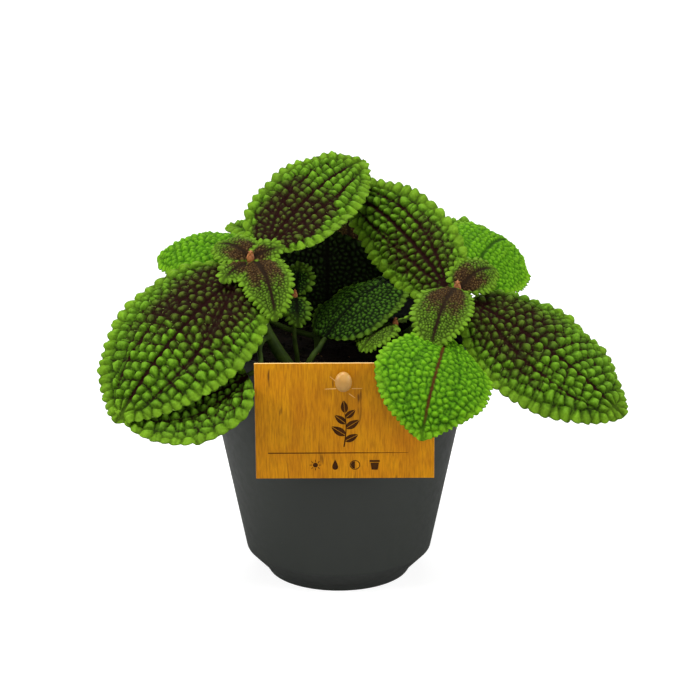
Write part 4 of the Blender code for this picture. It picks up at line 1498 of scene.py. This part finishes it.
def build_soil():
    rng = np.random.default_rng(SOIL_SEED)
    edge = WALL_TOP_RADIUS - WALL - SOIL_GAP - SOIL_EASE
    foot = BASE_RAISE + WALL + SOIL_GAP
    rings = [(edge * index / SOIL_RINGS, SOIL_TOP) for index in range(SOIL_RINGS)]
    profile = rings + [
        (edge - SOIL_SHOULDER_WIDTH, SOIL_TOP - SOIL_SHOULDER_DROP),
        (WALL_FOOT_RADIUS - WALL - SOIL_GAP - SOIL_EASE, SOIL_FOOT_HEIGHT),
        (FLOOR_RADIUS - SOIL_GAP, foot),
        (0, foot),
    ]
    bed = applied(spun("soil_bed", profile, SOIL_SECTORS))
    for point in bed.vertices:
        if point.co.z > SOIL_TOP - SOIL_EASE:
            point.co.z += lump(point.co.x, point.co.y) + rng.normal(0, SOIL_GRAIN)
    carry(bed, {"speck": np.zeros(len(bed.vertices))})
    grains = [crumb(rng, edge) for _ in range(CRUMBS)]
    new_piece("soil_bed", joined("soil_bed", [bed, *grains]), "soil", ["soil"])


def crumb(rng, edge):
    """One uneven grain of soil or bark lying on the bed."""
    angle, reach = rng.uniform(0, math.tau), edge * math.sqrt(rng.uniform(0, CRUMB_REACH))
    x, y = reach * math.cos(angle), reach * math.sin(angle)
    size = CRUMB_RADIUS * rng.uniform(*CRUMB_SIZES)
    shape = bmesh.new()
    bmesh.ops.create_icosphere(shape, subdivisions=2, radius=size)
    drawn = Matrix.Diagonal((*[rng.uniform(*limits) for limits in CRUMB_STRETCHES], 1))
    turn = Matrix.Rotation(rng.uniform(0, math.tau), 4, "Z")
    height = SOIL_TOP + lump(x, y) + CRUMB_LIFT * size
    for vert in shape.verts:
        vert.co *= rng.uniform(*CRUMB_DENTS)
    shape.transform(Matrix.Translation((x, y, height)) @ turn @ drawn)
    mesh = mesh_of(shape, "crumb")
    carry(mesh, {"speck": np.full(len(mesh.vertices), rng.random())})
    return mesh


# Card and peg

def card_turn():
    lean = Matrix.Rotation(CARD_LEAN, 4, "X")
    turn = Matrix.Rotation(-CARD_TURN, 4, "Y")
    return Matrix.Translation(CARD_CENTRE) @ lean @ turn


def block_mesh(name, size, place):
    shape = bmesh.new()
    bmesh.ops.create_cube(shape, size=1)
    shape.transform(place @ Matrix.Diagonal((*size, 1)))
    return mesh_of(shape, name)


def build_card():
    size = (CARD_WIDTH, CARD_THICKNESS, CARD_HEIGHT)
    card = loose_object("plant_card", block_mesh("plant_card", size, card_turn()))
    soften = card.modifiers.new("soften", "BEVEL")
    soften.width = CARD_EDGE_ROUND
    soften.segments = 2
    hole_ends = ((PEG_X, y, KNOB_HEIGHT) for y in HOLE_ENDS)
    holes = [cylinder("hole", CARD_HOLE_RADIUS, *hole_ends)]
    piece = new_piece("plant_card", drilled(card, holes), "label_card", ["label_card"])
    piece.data.set_sharp_from_angle(angle=CARD_SHARP_ANGLE)


def flat_strip(shape, left, right):
    """A thin raised patch on the card between two lines of points (mm across and up from its middle)."""
    front = -(CARD_THICKNESS / 2 + INK_THICKNESS)
    back = -(CARD_THICKNESS / 2 - INK_THICKNESS)
    rows = []
    for (x0, z0), (x1, z1) in zip(left, right):
        corners = ((x0, front, z0), (x1, front, z1), (x1, back, z1), (x0, back, z0))
        rows.append([shape.verts.new((x * MM, y, z * MM)) for x, y, z in corners])
    for near, far in zip(rows, rows[1:]):
        for side in range(4):
            after = (side + 1) % 4
            shape.faces.new((near[side], near[after], far[after], far[side]))
    shape.faces.new(rows[0][::-1])
    shape.faces.new(rows[-1])


def stroke(shape, points, widths):
    """A line through the points, as wide at each as the widths say (mm)."""
    points = np.array(points, dtype=float)
    widths = np.interp(np.linspace(0, 1, len(points)), np.linspace(0, 1, len(widths)), widths)
    slope = np.gradient(points, axis=0)
    slope /= np.linalg.norm(slope, axis=1)[:, None]
    off = pairs(-slope[:, 1], slope[:, 0]) * widths[:, None] / 2
    flat_strip(shape, points + off, points - off)


def disc(shape, centre, radius):
    """A round patch."""
    turns = np.radians(np.linspace(0, 180, ROUND_STEPS))
    x, z = radius * np.sin(turns), radius * np.cos(turns)
    flat_strip(shape, pairs(centre[0] - x, centre[1] + z), pairs(centre[0] + x, centre[1] + z))


def sprig_leaf(shape, foot, turn, length):
    """A drawn leaf in two halves with a bare midrib."""
    share = np.linspace(*SPRIG_LEAF_ENDS, SPRIG_LEAF_STEPS)
    ahead = np.array([math.cos(math.radians(turn)), math.sin(math.radians(turn))])
    across = np.array([-ahead[1], ahead[0]])
    line = np.array(foot) + share[:, None] * length * ahead
    wide = SPRIG_LEAF_WIDTH * length * np.sin(np.pi * share**SPRIG_LEAF_SKEW) ** SPRIG_LEAF_FULLNESS
    near, far = SPRIG_MIDRIB
    for side in (-1, 1):
        inner = line + across * side * near
        outer = line + across * side * (far + wide)[:, None]
        flat_strip(shape, *((inner, outer) if side > 0 else (outer, inner)))


def draw_sprig(shape):
    rise = np.linspace(0, 1, STALK_STEPS)
    swing = STALK_SWING * np.sin(STALK_TURN * rise) - STALK_OFFSET
    stalk = pairs(swing, SPRIG_FOOT + STALK_HEIGHT * rise)
    stroke(shape, stalk, STALK_WIDTHS)
    for share, turn, length in SPRIG_LEAVES:
        sprig_leaf(shape, stalk[round(share * (STALK_STEPS - 1))], turn, length)
    sprig_leaf(shape, stalk[-1] + np.array(TOP_LEAF_FOOT), TOP_LEAF_TURN, TOP_LEAF_LENGTH)


def draw_sun(shape, x, z):
    centre = np.array((x, z))
    disc(shape, centre, SUN_RADIUS)
    for ray in range(SUN_RAYS):
        turn = math.tau * ray / SUN_RAYS
        ahead = np.array([math.cos(turn), math.sin(turn)])
        stroke(shape, [centre + ahead * end for end in RAY_ENDS], RAY_WIDTHS)


def draw_drop(shape, x, z):
    fall = np.linspace(0, 1, ROUND_STEPS)
    belly = np.sqrt(np.clip(1 - (2 * fall - 1) ** 2, DROP_LEAST, 1))
    wide = DROP_HALF_WIDTH * belly * (DROP_NECK + (1 - DROP_NECK) * fall**DROP_SWELL)
    high = z + DROP_TOP - DROP_HEIGHT * fall
    flat_strip(shape, pairs(x - wide, high), pairs(x + wide, high))


def draw_half_shade(shape, x, z):
    ring = np.radians(np.linspace(0, 360, RING_STEPS))
    stroke(shape, pairs(x + SHADE_RING * np.cos(ring), z + SHADE_RING * np.sin(ring)), (SIGN_LINE,))
    half = np.radians(np.linspace(-FILL_TURN, FILL_TURN, FILL_STEPS))
    high = z + SHADE_FILL * np.sin(half)
    flat_strip(shape, pairs(np.full(FILL_STEPS, x), high), pairs(x - SHADE_FILL * np.cos(half), high))


def draw_pot_sign(shape, x, z):
    for ends in (POT_SIGN_RIM, POT_SIGN_BODY):
        left, right = ([(x + side * half, z + level) for half, level in ends] for side in (-1, 1))
        flat_strip(shape, left, right)


def draw_signs(shape):
    """Four plain care signs in a row."""
    signs = (draw_sun, draw_drop, draw_half_shade, draw_pot_sign)
    for index, draw in enumerate(signs):
        draw(shape, (index - (len(signs) - 1) / 2) * SIGN_GAP, SIGN_LEVEL)


def print_piece(name, draw, finish):
    shape = bmesh.new()
    draw(shape)
    bmesh.ops.recalc_face_normals(shape, faces=shape.faces)
    shape.transform(card_turn())
    piece = new_piece(name, mesh_of(shape, name), finish)
    piece.data.set_sharp_from_angle(angle=PRINT_SHARP_ANGLE)


def draw_ink(shape):
    draw_sprig(shape)
    draw_signs(shape)
    stroke(shape, pairs(np.linspace(*RULE_ENDS, RULE_STEPS), np.full(RULE_STEPS, RULE_LEVEL)), RULE_WIDTHS)


def draw_slits(shape):
    """Pale torn edges of the slit that the knob is pushed through."""
    for start, end in SLITS:
        stroke(shape, np.linspace(start, end, SLIT_STEPS), SLIT_WIDTHS)


def build_print():
    print_piece("card_print", draw_ink, "ink")
    print_piece("card_slits", draw_slits, "card_core")


def build_peg():
    """A hook over the rim whose oval knob goes through the card."""
    half = PEG_WIDTH / 2
    rim_back = math.sqrt((RIM_RADIUS - WALL) ** 2 - (half + abs(PEG_X)) ** 2)
    front = -RIM_RADIUS - PEG_GAP
    back = -rim_back + PEG_GAP
    top = POT_HEIGHT + PEG_GAP
    y_outer = front - PEG_THICKNESS
    y_inner = back + PEG_THICKNESS
    leg_height = top + PEG_THICKNESS - PEG_FOOT
    leg_middle = (PEG_FOOT + top + PEG_THICKNESS) / 2
    bars = [
        ((front + y_outer) / 2, leg_middle, PEG_THICKNESS, leg_height),
        ((back + y_inner) / 2, leg_middle, PEG_THICKNESS, leg_height),
        ((y_outer + y_inner) / 2, top + PEG_THICKNESS / 2, y_inner - y_outer, PEG_THICKNESS),
    ]
    parts = [
        block_mesh("bar", (PEG_WIDTH, deep, tall), Matrix.Translation((PEG_X, y, z)))
        for y, z, deep, tall in bars
    ]
    knob = Vector((PEG_X, KNOB_CENTRE_Y, KNOB_HEIGHT))
    neck_foot = (PEG_X, y_outer + 0.5 * PEG_THICKNESS, KNOB_HEIGHT)
    parts.append(cylinder("neck", KNOB_NECK_RADIUS, neck_foot, knob))
    parts.append(ball_mesh("knob", knob, KNOB_SIZE / 2))
    hook = fused("card_peg", parts, PEG_VOXEL, PEG_SMOOTHING)
    new_piece("card_peg", hook, "label_clip", ["label_clip"])


def build_all():
    build_leaves()
    build_shoots()
    build_pot()
    build_soil()
    build_card()
    build_print()
    build_peg()


# Stage

def build_floor():
    shape = bmesh.new()
    bmesh.ops.create_grid(shape, x_segments=1, y_segments=1, size=FLOOR_SIZE)
    mesh = mesh_of(shape, "floor")
    floor = loose_object("floor", mesh)
    material, tree, shader = new_material("pale_floor", Roughness=0.9, Specular_IOR_Level=0.0)
    seen = add(tree, "LightPath").outputs["Is Camera Ray"]
    glow = maths(tree, "MULTIPLY", seen, FLOOR_GLOW)
    grey = (FLOOR_GREY, FLOOR_GREY, FLOOR_GREY, 1)
    fill(tree, shader, Base_Color=grey, Emission_Color=(1, 1, 1, 1), Emission_Strength=glow)
    mesh.materials.append(material)


def area_light(name, place, aim_height, size, watts):
    """A square light that faces a point above the origin."""
    data = bpy.data.lights.new(name, "AREA")
    data.shape = "SQUARE"
    data.size = size
    data.energy = watts
    lamp = bpy.data.objects.new(name, data)
    lamp.location = place
    facing = Vector((0, 0, aim_height)) - Vector(place)
    lamp.rotation_euler = facing.to_track_quat("-Z", "Y").to_euler()
    bpy.context.scene.collection.objects.link(lamp)


def build_light():
    world = bpy.data.worlds.new("studio")
    world.use_nodes = True
    back = world.node_tree.nodes["Background"]
    back.inputs["Color"].default_value = (1, 1, 1, 1)
    back.inputs["Strength"].default_value = WORLD_LIGHT
    bpy.context.scene.world = world
    for name, values in LIGHTS.items():
        area_light(name, *values)


def build_look():
    bpy.context.scene.view_settings.view_transform = "Standard"


def build_camera():
    data = bpy.data.cameras.new("camera")
    data.lens = CAMERA_LENS
    data.sensor_width = CAMERA_SENSOR
    camera = bpy.data.objects.new("camera", data)
    back = Vector((0, -math.cos(CAMERA_ANGLE), math.sin(CAMERA_ANGLE))) * CAMERA_DISTANCE
    camera.location = CAMERA_AIM + back
    camera.rotation_euler = (math.pi / 2 - CAMERA_ANGLE, 0, 0)
    bpy.context.scene.collection.objects.link(camera)
    bpy.context.scene.camera = camera


build_look()
build_camera()
build_floor()
build_light()
build_all()
